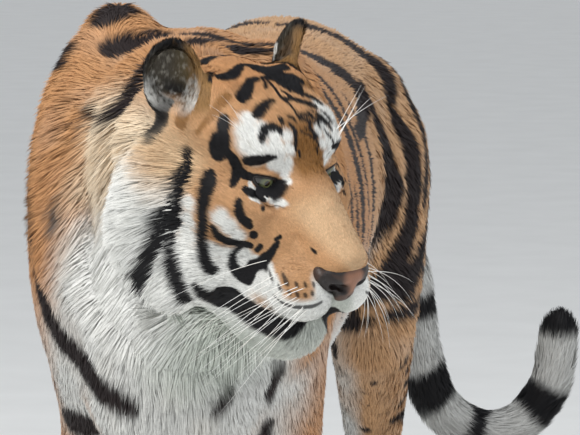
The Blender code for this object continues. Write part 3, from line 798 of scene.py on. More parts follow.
def patches(back, round_nose, discs, soft=0.45):
    """How far each place lies inside soft discs on the chart."""
    here = chart_points(back, round_nose)
    inside = np.zeros(len(back))
    for disc_back, disc_round, reach in discs:
        gap = np.degrees(np.linalg.norm(here - chart_points(disc_back, disc_round), axis=1))
        inside = np.maximum(inside, 1 - ramp(gap, reach * (1 - soft), reach * (1 + soft * 0.6)))
    return inside


def srgb(red, green, blue):
    """A colour as it is named on a screen, made linear."""
    shares = [tone / 255 for tone in (red, green, blue)]
    return np.array([((share + 0.055) / 1.055) ** 2.4 if share > 0.04 else share / 12.92 for share in shares])


TAN = srgb(192, 148, 106)
ORANGE = srgb(182, 130, 84)
DEEP = srgb(130, 88, 40)
PALE = srgb(214, 186, 150)
CREAM = srgb(230, 212, 184)
WHITE = srgb(230, 230, 226)
# SHADED is painted shade: a dim greenish grey for the shade under the jaw, tinted as a painted reflection of
# green surroundings
SHADED = srgb(188, 196, 184)
GOLD = srgb(146, 110, 66)
OLIVE = srgb(110, 95, 65)
BLACK = srgb(17, 16, 19)
BROWN_BLACK = srgb(36, 28, 28)


def mixed(first, second, share):
    return first + (second - first) * share[:, None]


# Stripes on the body: places in the source's frame in centimetres, with half widths
SHOULDER_STROKES = (
    ((-20, -41, 85, .3), (-20, -44, 82, .5), (-19.5, -46.5, 78.5, .6), (-19, -48, 74, .7),
     (-18.6, -50.5, 70, .8),
     (-18, -52.5, 65.7, .9), (-17, -53.3, 61.5, 1.0), (-15.5, -54.3, 57.3, 1.2), (-14, -54.9, 54.8, 1.3),
     (-11, -55.8, 52.7, 1.4), (-8, -57.3, 50.8, 1.3), (-4.5, -58.7, 49.5, .9)),
    ((-21, -37, 87, .8), (-19, -40, 87, 1.3), (-16.5, -42.5, 88, 1.2)),
    ((-19, -38.5, 88.8, .8), (-17, -40, 89.3, .9), (-15, -42, 89.6, .7)),
    ((-13, -50.5, 80.5, .4), (-12.5, -52.5, 82.5, .7), (-11.5, -55, 84.5, .6)),
    ((-14, -53, 80, .4), (-13, -55, 82, .7), (-12, -57, 84, .6)),
    ((-2.5, -53, 85, 1.0), (-4.1, -54.5, 83.3, 1.3), (-4.6, -55.8, 81.8, 1.2), (-6.5, -55.5, 80.8, .9),
     (-9, -54, 80, .4)),
    ((-14.5, -53.8, 71, .5), (-14, -54.3, 69, .6)),
    ((-17, -44, 46, .7), (-14, -46, 45, 1.2), (-10, -48, 43.5, 1.2)),
    ((7.5, -58, 53, .4), (6.5, -58, 50.5, .6), (5.2, -58, 49, .5)),
    ((12, -54, 54, .4), (11.5, -54, 50, .5), (12.3, -53, 46, .5), (11, -52, 43, .6)),
    ((-7, -38, 93, 1.2), (-9, -38, 92, 1.6), (-10, -38, 90, 1.0)),
    ((-3, -40, 90, .7), (-6, -42, 89.5, 1.2), (-9, -43, 88.5, .8)),
    ((-1, -40, 90, .4), (1, -39.5, 90.2, .7), (3.5, -39, 89.8, .8), (6, -38, 89, .6), (9, -37.5, 88, .3)),
    ((0.5, -48, 88.2, .3), (1.3, -46.8, 88.3, .5), (2.3, -44.5, 88.4, .5), (2.6, -41, 88.6, .3)),
    ((3.4, -42.5, 88, .4), (4.7, -41.5, 87.7, .7), (6, -40, 87.6, .7), (7.5, -39.5, 87.3, .5),
     (10, -38.7, 87, .2)),
)
FLANK_STROKES = (
    ((18, 88, .7), (24, 86, 1.0), (28, 83, 1.2), (30, 80, 1.2), (28.5, 77.5, 1.1), (22, 76, .9),
     (12, 75, .7)),
    ((33, 80, .5), (32, 77, .9), (32, 75, 1.1), (33.5, 72.5, 1.4), (35.5, 69, 1.6), (36.5, 65, 1.5),
     (35, 62, 1.3), (32, 59, 1.1), (25, 57, .7)),
    ((38, 89, .7), (44, 86, 1.1), (47, 82, 1.2), (46.5, 79.5, 1.2), (44, 77, .9), (43, 76, .4)),
    ((42, 76, .5), (42.5, 73, 1.1), (43, 69, 1.3), (43, 65, 1.2), (41, 60, 1.1), (38.5, 57, 1),
     (35, 53.5, .9), (30, 50.5, .6)),
    ((52, 84, .6), (52, 80, .9), (52, 76, 1.0), (50, 71, .9), (48, 66, .8), (46, 62, .5)),
    ((57, 78, .6), (55.5, 72, .9), (53, 66, .9), (50, 61, .7), (46, 57, .8), (42, 54, .9), (38, 50.5, 1),
     (33, 48, .8)),
    ((46, 53, .8), (41, 48, 1.2), (36, 44.5, 1.3), (31, 42, .9)),
    ((50, 48, .8), (45, 43, 1.1), (40, 39.5, 1.1), (36, 37.5, .8)),
    ((-2, 88, .8), (0, 83, 1), (1, 76, 1.1), (-1, 70, 1.1), (-3, 63, .8), (-4, 58, .4)),
    ((18, 80, .5), (19, 74, 1), (18, 68, 1.1), (16, 62, .9), (14, 54, .5)),
    ((-21, 86, .6), (-22, 78, 1), (-21, 71, 1), (-23, 64, .7)),
    ((-11, 88, .4), (-12, 81, .7), (-14, 75, .8), (-13, 69, .5), (-15, 64, .2)),
    ((-8, 70, .2), (-9, 64, .6), (-11, 58, .5), (-12, 54, .2)),
    ((8, 88, .4), (9.5, 82, .9), (8, 76, 1.1), (7, 70, .8), (8, 64, .3)),
    ((9, 66, .2), (7, 60, .6), (6, 55, .2)),
    ((58, 87, .5), (62, 84, .9), (64, 79, 1.1), (63, 73, .9), (60, 68, .4)),
    ((66, 80, .3), (68, 76, .8), (67, 71, .8), (64, 66, .3)),
)
FLANK_WIDE = 17.5
FLANK_DEEP = 23.5
FLANK_MIDDLE = 66


def flank_strokes():
    """The flanks' hoops, each side's a little different."""
    chance = np.random.default_rng(7)
    for sign in SIDES.values():
        for stroke in FLANK_STROKES:
            shift = 0 if sign > 0 else chance.uniform(-2.2, 2.2)
            path = []
            for y, z, wide in stroke:
                x = FLANK_WIDE * math.sqrt(max(0.02, 1 - ((z - FLANK_MIDDLE) / FLANK_DEEP) ** 2))
                path.append((sign * x, y + shift, z, wide))
            top = path[0]
            if top[2] > 84:
                path.insert(0, (top[0] * 0.35, top[1] - 1.5, 89, 0.5))
            yield [(*place[:3], place[3] * (1.8 if place[1] < 5 else 1.25)) for place in path]


def leg_strokes():
    """Bars across the outside of the legs."""
    chance = np.random.default_rng(11)
    legs = (
        ((12.5, -50, 44), (10.5, -51, 20), 6.0, 4), ((-12.5, -40, 44), (-10.5, -41, 20), 6.0, 4),
        ((13, 40, 50), (11.5, 58, 27), 6.5, 7), ((-13, 44, 50), (-11.5, 72, 27), 6.5, 7),
        ((11.5, 58, 27), (11.5, 50, 9), 4.0, 4), ((-11.5, 72, 27), (-11.5, 64, 9), 4.0, 4),
    )
    for top, bottom, radius, count in legs:
        top, bottom = np.array(top, float), np.array(bottom, float)
        side = math.copysign(1, top[0])
        for index in range(count):
            middle = top + (bottom - top) * (index + chance.uniform(0.1, 0.9)) / count
            first = chance.uniform(-80, -20) - (45 if middle[1] > 30 else 0)
            last = chance.uniform(40, 110)
            wide = chance.uniform(0.45, 0.85)
            tilt = chance.uniform(-2, 2)
            turns = np.radians(np.linspace(first, last, 5))
            yield [
                (middle[0] + side * radius * math.cos(turn), middle[1] + radius * math.sin(turn),
                 middle[2] + tilt * turn / (math.pi / 2), wide * math.sin(math.pi * (step + 0.5) / 5))
                for step, turn in enumerate(turns)
            ]


BODY_STROKES = [*SHOULDER_STROKES, *flank_strokes(), *leg_strokes()]


def body_black(points, outward, fuzz):
    """How black each place on the body is; points in the source's frame in centimetres."""
    dark = np.zeros(len(points))
    for stroke in BODY_STROKES:
        stroke = np.array(stroke, float)
        low, high = stroke[:, :3].min(0) - 5, stroke[:, :3].max(0) + 5
        close = np.flatnonzero(((points > low) & (points < high)).all(1))
        if not len(close):
            continue
        spot, face = points[close], outward[close]
        for start, end in zip(stroke, stroke[1:]):
            run = end[:3] - start[:3]
            t = np.clip((spot - start[:3]) @ run / max(run @ run, 1e-9), 0, 1)
            away = spot - start[:3] - t[:, None] * run
            deep = (away * face).sum(1)
            gap = np.linalg.norm(away - deep[:, None] * face, axis=1)
            wide = (start[3] + (end[3] - start[3]) * t) * 1.3 + 0.1 + fuzz[close]
            over = np.where(np.abs(deep) < 6, wide - gap, -9)
            dark[close] = np.maximum(dark[close], ramp(over, -0.22, 0.22))
    return dark


TAIL_PATH = np.array([row[:3] for row in smooth_path(TAIL)]) * 100
TAIL_RUN = np.concatenate(((0,), np.cumsum(np.linalg.norm(np.diff(TAIL_PATH, axis=0), axis=1))))


def along_tail(points):
    """(centimetres along the tail, centimetres from its middle line)."""
    best = np.full(len(points), 999.0)
    run_at = np.zeros(len(points))
    for index, (start, end) in enumerate(zip(TAIL_PATH, TAIL_PATH[1:])):
        run = end - start
        t = np.clip((points - start) @ run / (run @ run), 0, 1)
        gap = np.linalg.norm(points - start - t[:, None] * run, axis=1)
        nearer = gap < best
        best[nearer] = gap[nearer]
        run_at[nearer] = TAIL_RUN[index] + t[nearer] * (TAIL_RUN[index + 1] - TAIL_RUN[index])
    return run_at, best


# Black bands on the tail: from and to, in centimetres along it
TAIL_BANDS = (
    (17, 20), (24.5, 27), (31, 34.5), (38.5, 42.5), (48, 52), (60.5, 66), (71, 75.5), (83, 88), (95, 101),
    (106, 130),
)


def mane_edge(height):
    """How far back the pale mane reaches at each height, both in centimetres of the source's frame."""
    return np.interp(height, (55, 60, 65, 70, 75, 80, 88), (-54, -54.5, -55, -53.5, -51, -50, -48))


def colours(points, outward):
    """The coat's colour at points of the row frame, whose skin faces outward."""
    source = to_source(points)
    head = to_head(points)
    back, round_nose = chart(head)
    side = np.abs(round_nose)
    off_head = np.linalg.norm(head - CHART_MIDDLE, axis=1)
    fine = noise(points, 0.006, 1)
    broad = noise(points, 0.035, 2)
    tail_run, tail_gap = along_tail(source)
    on_tail = (tail_gap < 7) & (source[:, 1] > 64)

    # the body
    x, y, z = source.T
    down = -outward[:, 2]
    inner = -outward[:, 0] * np.sign(x)
    low = ramp(down, -0.05, 0.55) * ramp(70 - z, 0, 16) * (1 - ramp(50 - z, 0, 8) * ramp(y, 15, 25))
    legs = ramp(inner, 0.1, 0.8) * ramp(58 + 4 * broad - z, 0, 30)
    off_chest = np.hypot((x + 1) / 15.5, (z - 52) / 21)
    chest = ramp(-outward[:, 1], 0.1, 0.6) * ramp(-40 - y, 0, 6) * (1 - ramp(off_chest, 0.75, 1.1))
    pale = np.clip(np.maximum(np.maximum(low, legs), chest) + 0.12 * broad, 0, 1)
    body = mixed(np.broadcast_to(ORANGE, (len(points), 3)), TAN, ramp(z, 40, 85) * 0.4)
    body = mixed(body, PALE, 0.35 * ramp(y, 0, 40))
    mane = ramp(mane_edge(z) - y + 1.5 * broad, -2, 2) * (1 - ramp(z, 80, 86)) * (1 - on_tail)
    body = mixed(body, CREAM, np.clip(mane * 0.9, 0, 1))
    body = mixed(body, WHITE * 0.80, pale)
    dark = body_black(source, outward, 0.18 * fine + 0.22 * broad)
    body = mixed(body, BROWN_BLACK, dark)
    band = np.zeros(len(points))
    wavy_run = tail_run + 1.2 * broad
    for start, end in TAIL_BANDS:
        inside = ramp(wavy_run, start - 0.5, start + 0.5) * (1 - ramp(wavy_run, end - 0.5, end + 0.5))
        band = np.maximum(band, inside)
    tail_base = mixed(np.broadcast_to(PALE, (len(points), 3)), WHITE * 0.72, ramp(tail_run, 12, 45))
    body = np.where(on_tail[:, None], mixed(tail_base, BLACK, band), body)

    # the head
    face = np.broadcast_to(TAN, (len(points), 3))
    face = mixed(face, DEEP, ramp(back, 30, 42) * (1 - ramp(back, 66, 84)) * (1 - ramp(side, 12, 26)) * 0.95)
    face = mixed(face, PALE, (1 - ramp(back, 20, 34)) * (1 - ramp(side, 40, 75)) * 0.6)
    face = mixed(face, PALE, ramp(back, 76, 98) * ramp(side, 52, 76) * 0.8)
    face = mixed(face, ORANGE, ramp(back, 96, 112) * (1 - ramp(side, 30, 50)) * 0.6)
    white = patches(back + 1.2 * fine, side, WHITE_PATCHES)
    lower = ramp(side + 5 * broad, 108, 126) * ramp(back, 34, 44)
    lower = np.maximum(lower, ramp(side + 5 * broad, 112, 136) * ramp(back, 60, 80))
    chin = ramp(side, 138, 150)
    lip_side = ramp(side, 121, 127) * (1 - ramp(back, 30, 40))
    ruff = ramp(side + 6 * broad, 88, 108) * ramp(back, 76, 88)
    white = np.maximum.reduce((white, lower, chin, lip_side, ruff))
    face = mixed(face, WHITE, np.clip(white, 0, 1))
    # Painted shade: the white under the jaw and on the chin is greyed and greened, darkest on the chin
    face = mixed(face, SHADED, ramp(side, 150, 172) * ramp(back, 40, 60) * (1 - ramp(back, 80, 95)) * 0.8)
    face = mixed(face, SHADED * 0.72, ramp(side, 148, 164) * (1 - ramp(back, 50, 66)) * 0.7)
    face = mixed(face, DEEP, near_strokes(back, side, TEMPLE_STROKES, 0.35 * fine) * 0.75)
    dark = near_strokes(back, side, FACE_STROKES, 0.35 * fine)
    dark = np.maximum(dark, near_strokes(back, round_nose, CROWN_STROKES, 0.35 * fine))
    spots = [((b, r, w), (b, r + 0.5, w)) for b, r, w in WHISKER_SPOTS]
    dark = np.maximum(dark, near_strokes(back, side, (*spots, LIP_LINE), 0.15 * fine) * 0.85)
    dark = np.maximum(dark, near_strokes(back, side, (LIPS,), 0.4 * fine))
    for sign in SIDES.values():
        distance, outside = eye_angles(head, sign)
        tear, run = from_line(head, [mirrored(place, sign) for place in TEAR_LINE])
        _, inward, above = ((head - mirrored(EYE, sign)) @ eye_axes(sign).T).T
        under = (above < 0) * (distance < 0.036) * (inward > -0.017) * ramp(outside, 1.25, 1.5)
        face = mixed(face, WHITE, under * (1 - ramp(outside + 0.4 * fine, 2.6, 3.6)))
        rim_ends = np.where(above < 0, 1.15, 1.5), np.where(above < 0, 1.4, 2.0)
        rim = (1 - ramp(outside + 0.15 * fine, *rim_ends)) * (distance < 0.030)
        corner = (1 - ramp(outside + 0.10 * fine, 1.05, 1.25)) * (1 - ramp(distance, 0.031, 0.036))
        rim = np.maximum(rim, corner * ramp(inward, 0.004, 0.009))
        dark = np.maximum.reduce((dark, rim, 1 - ramp(tear + TEAR_TAPER * run, 0.0050, 0.0070)))
    face = mixed(face, BLACK, dark)

    under_pad = np.linalg.norm((head - (0.104, 0, -0.066)) / (0.022, 0.031, 0.019), axis=1)
    face = mixed(face, BLACK, 1 - ramp(under_pad, 0.85, 1.0))
    hanging = ramp(side, 125, 158) * ramp(back, 62, 80)
    on_head = 1 - ramp(off_head, 0.185 + 0.05 * hanging, 0.225 + 0.07 * hanging)
    behind = ramp(back + 10 * broad, 118, 142) * ramp(side, 55, 80)
    result = mixed(body, face, np.clip(on_head * (1 - behind), 0, 1))
    return ear_colours(head, result, fine, broad)


def ear_colours(head, result, fine, broad):
    """Black backs with a white spot, dark rims, and grey hollows with pale hairs."""
    streak = noise(head, 0.0028, 9)
    for sign in SIDES.values():
        space = HEAD.inverted() @ ear_space(sign)
        local = (head - np.array(space.translation)) @ np.array(space.to_3x3())
        x, y, z = local.T
        on_ear = (np.abs(y) < 0.042) & (z > -0.030) & (z < 0.058) & (np.abs(x) < 0.032)
        fade = on_ear * ramp(z + 0.004 * broad, -0.030, -0.012)
        rim = from_ear_middle(y, z)
        hollow = (rim < 1.0) & (x > -0.016)
        outer = y * sign
        inside = mixed(np.broadcast_to(srgb(84, 78, 68), (len(head), 3)), OLIVE, ramp(-outer, -0.01, 0.02))
        light = ramp(streak, 0.05, 0.6)
        inside = mixed(inside, srgb(190, 184, 170), light * 0.60)
        inside = mixed(inside, GOLD, ramp(-outer + 0.003 * fine, 0.011, 0.022) * 0.85)
        # Painted shade: the hollow turns nearly black deep down at its base, round its middle
        deep = ramp(-z, -0.006, 0.012) * (1 - ramp(np.abs(outer + 0.003) + 0.004 * fine, 0.007, 0.017))
        inside = mixed(inside, BLACK, deep * 0.9)
        fringe = ramp(rim + 0.25 * streak, 0.60, 0.90) * (1 - ramp(z, -0.002, 0.014))
        inside = mixed(inside, WHITE, fringe * 0.75)
        # Painted shade: both hollows are darkened, the far (left) ear's much more than the near one's
        inside = mixed(inside, BLACK, np.full(len(head), 0.75 if sign > 0 else 0.15))
        spot = 1 - ramp(np.hypot(y, z - 0.012) + 0.003 * fine, 0.010, 0.014)
        outside = mixed(np.broadcast_to(BLACK, (len(head), 3)), WHITE, spot * (x < -0.004))
        front = (x > (0.012 if sign > 0 else 0.003)) & (outer < 0)
        outside = np.where(front[:, None], GOLD, outside)
        edge = ramp(rim, 0.86, 0.95) * ramp(z, -0.012, 0.006) * (1 - ramp(rim, 1.12, 1.2))
        colour = np.where(hollow[:, None], inside, outside)
        colour = mixed(colour, mixed(BLACK[None] + 0 * colour, GOLD, ramp(-outer, 0.008, 0.020)), edge * 0.9)
        under = np.linalg.norm((local - (-0.002, sign * 0.016, -0.044)) / (0.020, 0.020, 0.034), axis=1)
        under = 1 - ramp(under + 0.15 * broad, 0.75, 1.1)
        result = mixed(result, BLACK, under * 0.9)
        result = mixed(result, colour, fade)
    return result


# --- the coat: thin pointed tufts over the skin ------------------------------------------------------------

TUFTS = 640000
PIECE_TUFTS = 95000
PATCH = 0.003  # a tuft's width on the OFBake map
LOW_TONE = 0.45  # how far along a tuft its middle's colour and its tip's colour are taken
HIGH_TONE = 0.85
LIE = {
    "neck": (0, 0.75, -0.65), "chest": (0, 0.35, -0.95), "barrel": (0, 1, -0.12), "rump": (0, 1, -0.25),
    "shoulder": (0, 0.45, -0.9), "thigh": (0, 0.55, -0.85), "forearm": (0, 0.12, -1), "shank": (0, 0.2, -1),
    "metatarsus": (0, 0, -1), "forepaw": (0, -1, -0.35), "hindpaw": (0, -1, -0.35), "head": (0, 1, -0.3),
    "muzzle": (0, 1, -0.3), "lower_jaw": (0, 1, -0.3), "ear": (0, 0, 1), "tail": (0, 1, -0.2),
}
NOSE_TIP = np.array((0.120, 0, -0.062))


def lie_of_coat(points, outward, owner, ends):
    """The way the hairs point at each vertex of the skin."""
    lie = np.array([LIE[stem] for stem in STEMS], float)[owner]
    source = to_source(points)
    run, _ = along_tail(source)
    ahead = unit(np.diff(TAIL_PATH, axis=0))
    index = np.clip(np.searchsorted(TAIL_RUN, run) - 1, 0, len(ahead) - 1)
    tail = STEMS[owner] == "tail"
    lie[tail] = ahead[index[tail]]
    head = to_head(points)
    back, round_nose = chart(head)
    side = np.abs(round_nose)
    away = unit(head - NOSE_TIP)
    fall = ramp(back, 58, 88) * ramp(side, 50, 100)
    spread = np.stack((-np.ones(len(head)), np.sign(head[:, 1]) * 0.6, np.zeros(len(head))), 1) * 0.6
    on_face = away + fall[:, None] * spread
    on_face = on_face @ HEAD_TURN.T
    on_face[:, 2] -= fall * (0.9 + 0.8 * ramp(side, 100, 140))
    off_head = np.linalg.norm(head - CHART_MIDDLE, axis=1)
    share = 1 - ramp(off_head, 0.17, HEAD_REACH)
    lie = lie * (1 - share[:, None]) + on_face * share[:, None]
    for sign in SIDES.values():
        space = ear_space(sign)
        local = (points - np.array(space.translation)) @ np.array(space.to_3x3())
        on_ear = ramp(local[:, 2], -0.035, -0.008) * (np.linalg.norm(local, axis=1) < 0.062)
        upward = np.array(space.to_3x3())[:, 2]
        lie = lie * (1 - on_ear[:, None]) + upward * on_ear[:, None]
    lie = unit(lie - outward * (lie * outward).sum(1)[:, None])
    lie = relaxed(lie, ends, 25)
    return unit(lie - outward * (lie * outward).sum(1)[:, None])


def coat_fields(points, owner, ends):
    """Length, width, lift and density of the coat at each vertex of the skin."""
    fields = coat_rows(owner)[:, 1:]
    head = to_head(points)
    back, round_nose = chart(head)
    side = np.abs(round_nose)
    off_head = np.linalg.norm(head - CHART_MIDDLE, axis=1)
    on_head = 1 - ramp(off_head, 0.20, HEAD_REACH)
    near_ear = from_pair(head, EAR)
    near_eye = from_pair(head, EYE)
    ruff = ramp(back, 66, 95) * ramp(side, 55, 95) * on_head * ramp(near_ear, 0.035, 0.07)
    cheek = ramp(back, 38, 70) * ramp(side, 60, 110) * on_head
    brow = ramp(back, 52, 66) * (1 - ramp(back, 90, 105)) * (1 - ramp(side, 45, 65)) * on_head
    hang = ramp(side, 112, 145) * ramp(back, 62, 85) * on_head
    source = to_source(points)
    mane = ramp(mane_edge(source[:, 2]) + 4 - source[:, 1], -3, 3) * (1 - ramp(source[:, 2], 82, 88))
    neck = np.isin(STEMS[owner], ("neck", "chest")) * (1 - mane)
    fields[:, 0] -= neck * (fields[:, 0] - 20)
    fields[:, 2] -= neck * (fields[:, 2] - 12)
    length = fields[:, 0] * (1 + 0.9 * cheek + 0.5 * brow) * (1 - ruff) + (34 + 24 * hang) * ruff
    width = fields[:, 1] * (1 + 0.25 * cheek) * (1 - ruff) + 1.6 * ruff
    lift = fields[:, 2] * (1 - ruff) + (20 - 6 * hang) * ruff
    density = fields[:, 3] * (1 - 0.4 * cheek) * (1 - ruff) + 38 * ruff
    short = (1 - ramp(near_eye, 0.018, 0.036)) * on_head
    length = length * (1 - 0.55 * short)
    short_nose = (1 - ramp(np.linalg.norm(head - np.array(NOSE), axis=1), 0.020, 0.050)) * on_head
    length = length * (1 - 0.45 * short_nose)
    fields = relaxed(np.stack((length, width, lift, density), 1), ends, 18)
    fields[:, 0] *= 1 + 0.10 * noise(points, 0.05, 4)
    return fields, on_head


def bare(points):
    """1 where no hair grows: in the eyes' openings, on their rims and between the lips."""
    head = to_head(points)
    share = np.zeros(len(points))
    for sign in SIDES.values():
        distance, outside = eye_angles(head, sign)
        share = np.maximum(share, (1 - ramp(outside, 1.25, 1.45)) * (distance < 0.028))
        share = np.maximum(share, (outside < 1.05) * (distance < 0.034))
        tear, run = from_line(head, [mirrored(place, sign) for place in TEAR_LINE])
        share = np.maximum(share, 1 - ramp(tear + TEAR_TAPER * run, 0.0036, 0.0050))
    lips, _ = from_line(folded(head), MOUTH_LINE)
    share = np.maximum(share, 1 - ramp(lips, 0.0025, 0.0045))
    pad = np.linalg.norm((head - (0.109, 0, -0.066)) / (0.022, 0.033, 0.019), axis=1)
    return np.maximum(share, pad < 0.95)


def unwrapped(points, stem):
    """Where points of the row frame lie on an unwrap of their part of the body, each way from 0 to 1."""
    source = to_source(points)
    x, y, z = source.T
    if stem in ("face", "ruff"):
        head = to_head(points)
        back, round_nose = chart(head)
        reach = np.sin(np.radians(back) / 2)
        u = 0.5 + 0.48 * reach * np.sin(np.radians(round_nose))
        v = 0.5 - 0.48 * reach * np.cos(np.radians(round_nose))
        return np.stack((u, v), 1)
    if stem == "tail":
        run, _ = along_tail(source)
        index = np.clip(np.searchsorted(TAIL_RUN, run) - 1, 0, len(TAIL_PATH) - 2)
        ahead = unit(np.diff(TAIL_PATH, axis=0))[index]
        across = unit(np.cross(ahead, (0, 1, 0.3)))
        over = np.cross(across, ahead)
        away = source - TAIL_PATH[index]
        angle = np.arctan2((away * over).sum(1), (away * across).sum(1))
        return np.stack((0.01 + 0.98 * run / TAIL_RUN[-1], 0.5 + 0.48 * angle / math.pi), 1)
    if stem == "legs":
        near = np.where(x > 0, 1, 0) + np.where(y > 0, 2, 0)
        middles = np.array(((-10.5, -41), (10.5, -52), (-11.5, 62), (11.5, 50)), float)
        away = source[:, :2] - middles[near]
        angle = np.arctan2(away[:, 1], away[:, 0])
        u, v = 0.125 + 0.25 * near + 0.115 * angle / math.pi, 0.02 + 0.95 * np.clip(z, 0, 60) / 60
        return np.stack((u, v), 1)
    angle = np.arctan2(x, z - 62)
    return np.stack((0.01 + 0.98 * (y + 75) / 150, 0.5 + 0.48 * angle / math.pi), 1).clip(0.01, 0.99)


def piece_stems(points, owner):
    """The coat piece that each tuft belongs to."""
    head = to_head(points)
    back, _ = chart(head)
    off_head = np.linalg.norm(head - CHART_MIDDLE, axis=1)
    stem = STEMS[owner]
    source = points - np.array(SHIFT)
    side = np.where(source[:, 0] > 0, "left", "right")
    head_side = np.where(head[:, 1] > 0, "left", "right")
    piece = np.where(np.isin(stem, ("barrel", "rump", "thigh")), "hind", "fore")
    piece = np.where(np.isin(stem, ("forearm", "forepaw", "shank", "metatarsus", "hindpaw")), "legs", piece)
    piece = np.where(stem == "tail", "tail", piece)
    near_head = (off_head < HEAD_REACH) & np.isin(stem, ("head", "muzzle", "lower_jaw", "ear", "neck"))
    piece = np.where(near_head | np.isin(stem, ("head", "muzzle", "lower_jaw", "ear")), "ruff", piece)
    piece = np.where((piece == "ruff") & (back < 66), "face", piece)
    half = np.where(np.isin(piece, ("ruff", "face")), head_side, side)
    half = np.where(piece == "legs", np.where(source[:, 1] > 0, "hind", "fore"), half)
    return np.where(piece == "tail", "tail", np.char.add(np.char.add(piece, "_"), half))


def scattered(mesh, density, chance):
    """Random places on the skin: (triangle corners, shares of them)."""
    mesh.calc_loop_triangles()
    corners = np.empty(len(mesh.loop_triangles) * 3, np.int32)
    mesh.loop_triangles.foreach_get("vertices", corners)
    corners = corners.reshape(-1, 3)
    co = coordinates(mesh)
    first, second, third = (co[corners[:, index]] for index in range(3))
    area = np.linalg.norm(np.cross(second - first, third - first), axis=1) / 2
    wanted = area * 1e4 * density[corners].mean(1)
    wanted *= TUFTS / wanted.sum()
    ends = np.cumsum(wanted)
    picks = np.searchsorted(ends, (np.arange(TUFTS) + chance.random(TUFTS)) * ends[-1] / TUFTS)
    picks = corners[np.clip(picks, 0, len(corners) - 1)]
    a, b = chance.random((2, TUFTS))
    over = a + b > 1
    a[over], b[over] = 1 - a[over], 1 - b[over]
    return picks, np.stack((1 - a - b, a, b), 1)


def gathered(tips, roots, long, share):
    """The tips drawn towards the middle of the lock that their roots grow in; longer hair has wider locks."""
    level = np.round(long * 3)
    size = 0.005 + 0.003 * level
    warped = roots + np.stack([noise(roots, 0.03, seed) for seed in (21, 22, 23)], 1) * 0.012
    cell = np.floor(warped / size[:, None]).astype(np.int64)
    key = cell @ np.array((1, 10007, 10007**2)) + level.astype(np.int64) * 10007**3
    _, lock = np.unique(key, return_inverse=True)
    count = np.bincount(lock)
    middle = np.stack([np.bincount(lock, tips[:, axis]) / count for axis in range(3)], 1)
    return tips + (middle[lock] - tips) * share[:, None]


def grow_coat(skin, owner):
    mesh = skin.data
    chance = np.random.default_rng(5)
    points, outward, ends = coordinates(mesh), normals(mesh), edges(mesh)
    fields, on_head = coat_fields(points, owner, ends)
    lie = lie_of_coat(points, outward, owner, ends)
    hairless = bare(points)
    corners, shares = scattered(mesh, fields[:, 3] * (1 - hairless), chance)

    def at_roots(values):
        return (values[corners] * (shares if values.ndim == 1 else shares[:, :, None])).sum(1)

    roots, out, along = at_roots(points), unit(at_roots(outward)), unit(at_roots(lie))
    length, width, lift, _ = at_roots(fields).T
    main = corners[:, 0]
    keep = bare(roots) < 0.5
    turn = np.radians(12 * noise(roots, 0.022, 31) + 9 * noise(roots, 0.007, 32) + chance.normal(0, 7, TUFTS))
    across = np.cross(out, along)
    along = along * np.cos(turn)[:, None] + across * np.sin(turn)[:, None]
    across = np.cross(out, along)
    length = length / 1000 * chance.uniform(0.72, 1.22, TUFTS)
    width = width / 1000 * chance.uniform(0.75, 1.25, TUFTS)
    rise = np.radians(lift * (1 + 0.25 * noise(roots, 0.014, 33)) * chance.uniform(0.5, 1.35, TUFTS))
    roll = np.radians(chance.uniform(-40, 40, TUFTS))
    side = across * np.cos(roll)[:, None] + out * np.sin(roll)[:, None]

    def grown(ahead, off):
        return roots + along * (length * ahead)[:, None] + out * (length * off)[:, None]

    middle = grown(0.42 * np.cos(rise), 0.50 * np.sin(rise))
    tip = grown(np.cos(rise * 0.9), 0.92 * np.sin(rise))
    long = ramp(length, 0.020, 0.034)
    tip = gathered(tip, roots, long, 0.12 + 0.40 * long)
    middle = gathered(middle, roots, long, 0.03 + 0.12 * long)
    start = roots - out * 0.0005
    half = side * (width / 2)[:, None]
    blade = np.stack((start, middle - half, tip, middle + half), 1)
    blade[:, :, 2] = np.maximum(blade[:, :, 2], GROUND)
    facing = unit(out * 0.9 + np.cross(side, along) * -0.1)
    low_tone = colours(roots + along * (length * LOW_TONE)[:, None], out)
    high_tone = colours(roots + along * (length * HIGH_TONE)[:, None], out)
    shade = chance.normal(1, 0.05 + 0.05 * at_roots(on_head), TUFTS) * (1 + 0.07 * noise(roots, 0.009, 41))
    shade = np.clip(shade, 0.7, 1.3)[:, None]
    low_tone, high_tone = low_tone * shade, high_tone * shade
    # Each tuft's root corner is darkened as painted shade among the hairs; its brighter tip is the hair's own
    # lighter end
    tones = np.stack((low_tone * 0.76, low_tone, high_tone * 1.08, low_tone), 1)
    piece = piece_stems(roots, owner[main])
    pieces = []
    for name in np.unique(piece):
        chosen = np.flatnonzero((piece == name) & keep)
        if not len(chosen):
            continue
        parts = math.ceil(len(chosen) / PIECE_TUFTS)
        where = unwrapped(roots[chosen], name.split("_")[0])
        for index in range(parts):
            part = slice(index, None, parts)
            label = f"coat_{name}" if parts == 1 else f"coat_{name}_{index + 1}"
            pick = chosen[part]
            pieces.append(coat_piece(label, blade[pick], facing[pick], tones[pick], where[part]))
    return pieces


def painted(mesh, tones):
    """Stores a colour for each vertex as the attribute Coat."""
    tone = mesh.color_attributes.new("Coat", "FLOAT_COLOR", "POINT")
    rgba = np.concatenate((tones, np.ones((len(tones), 1))), 1)
    tone.data.foreach_set("color", rgba.astype(np.float32).ravel())


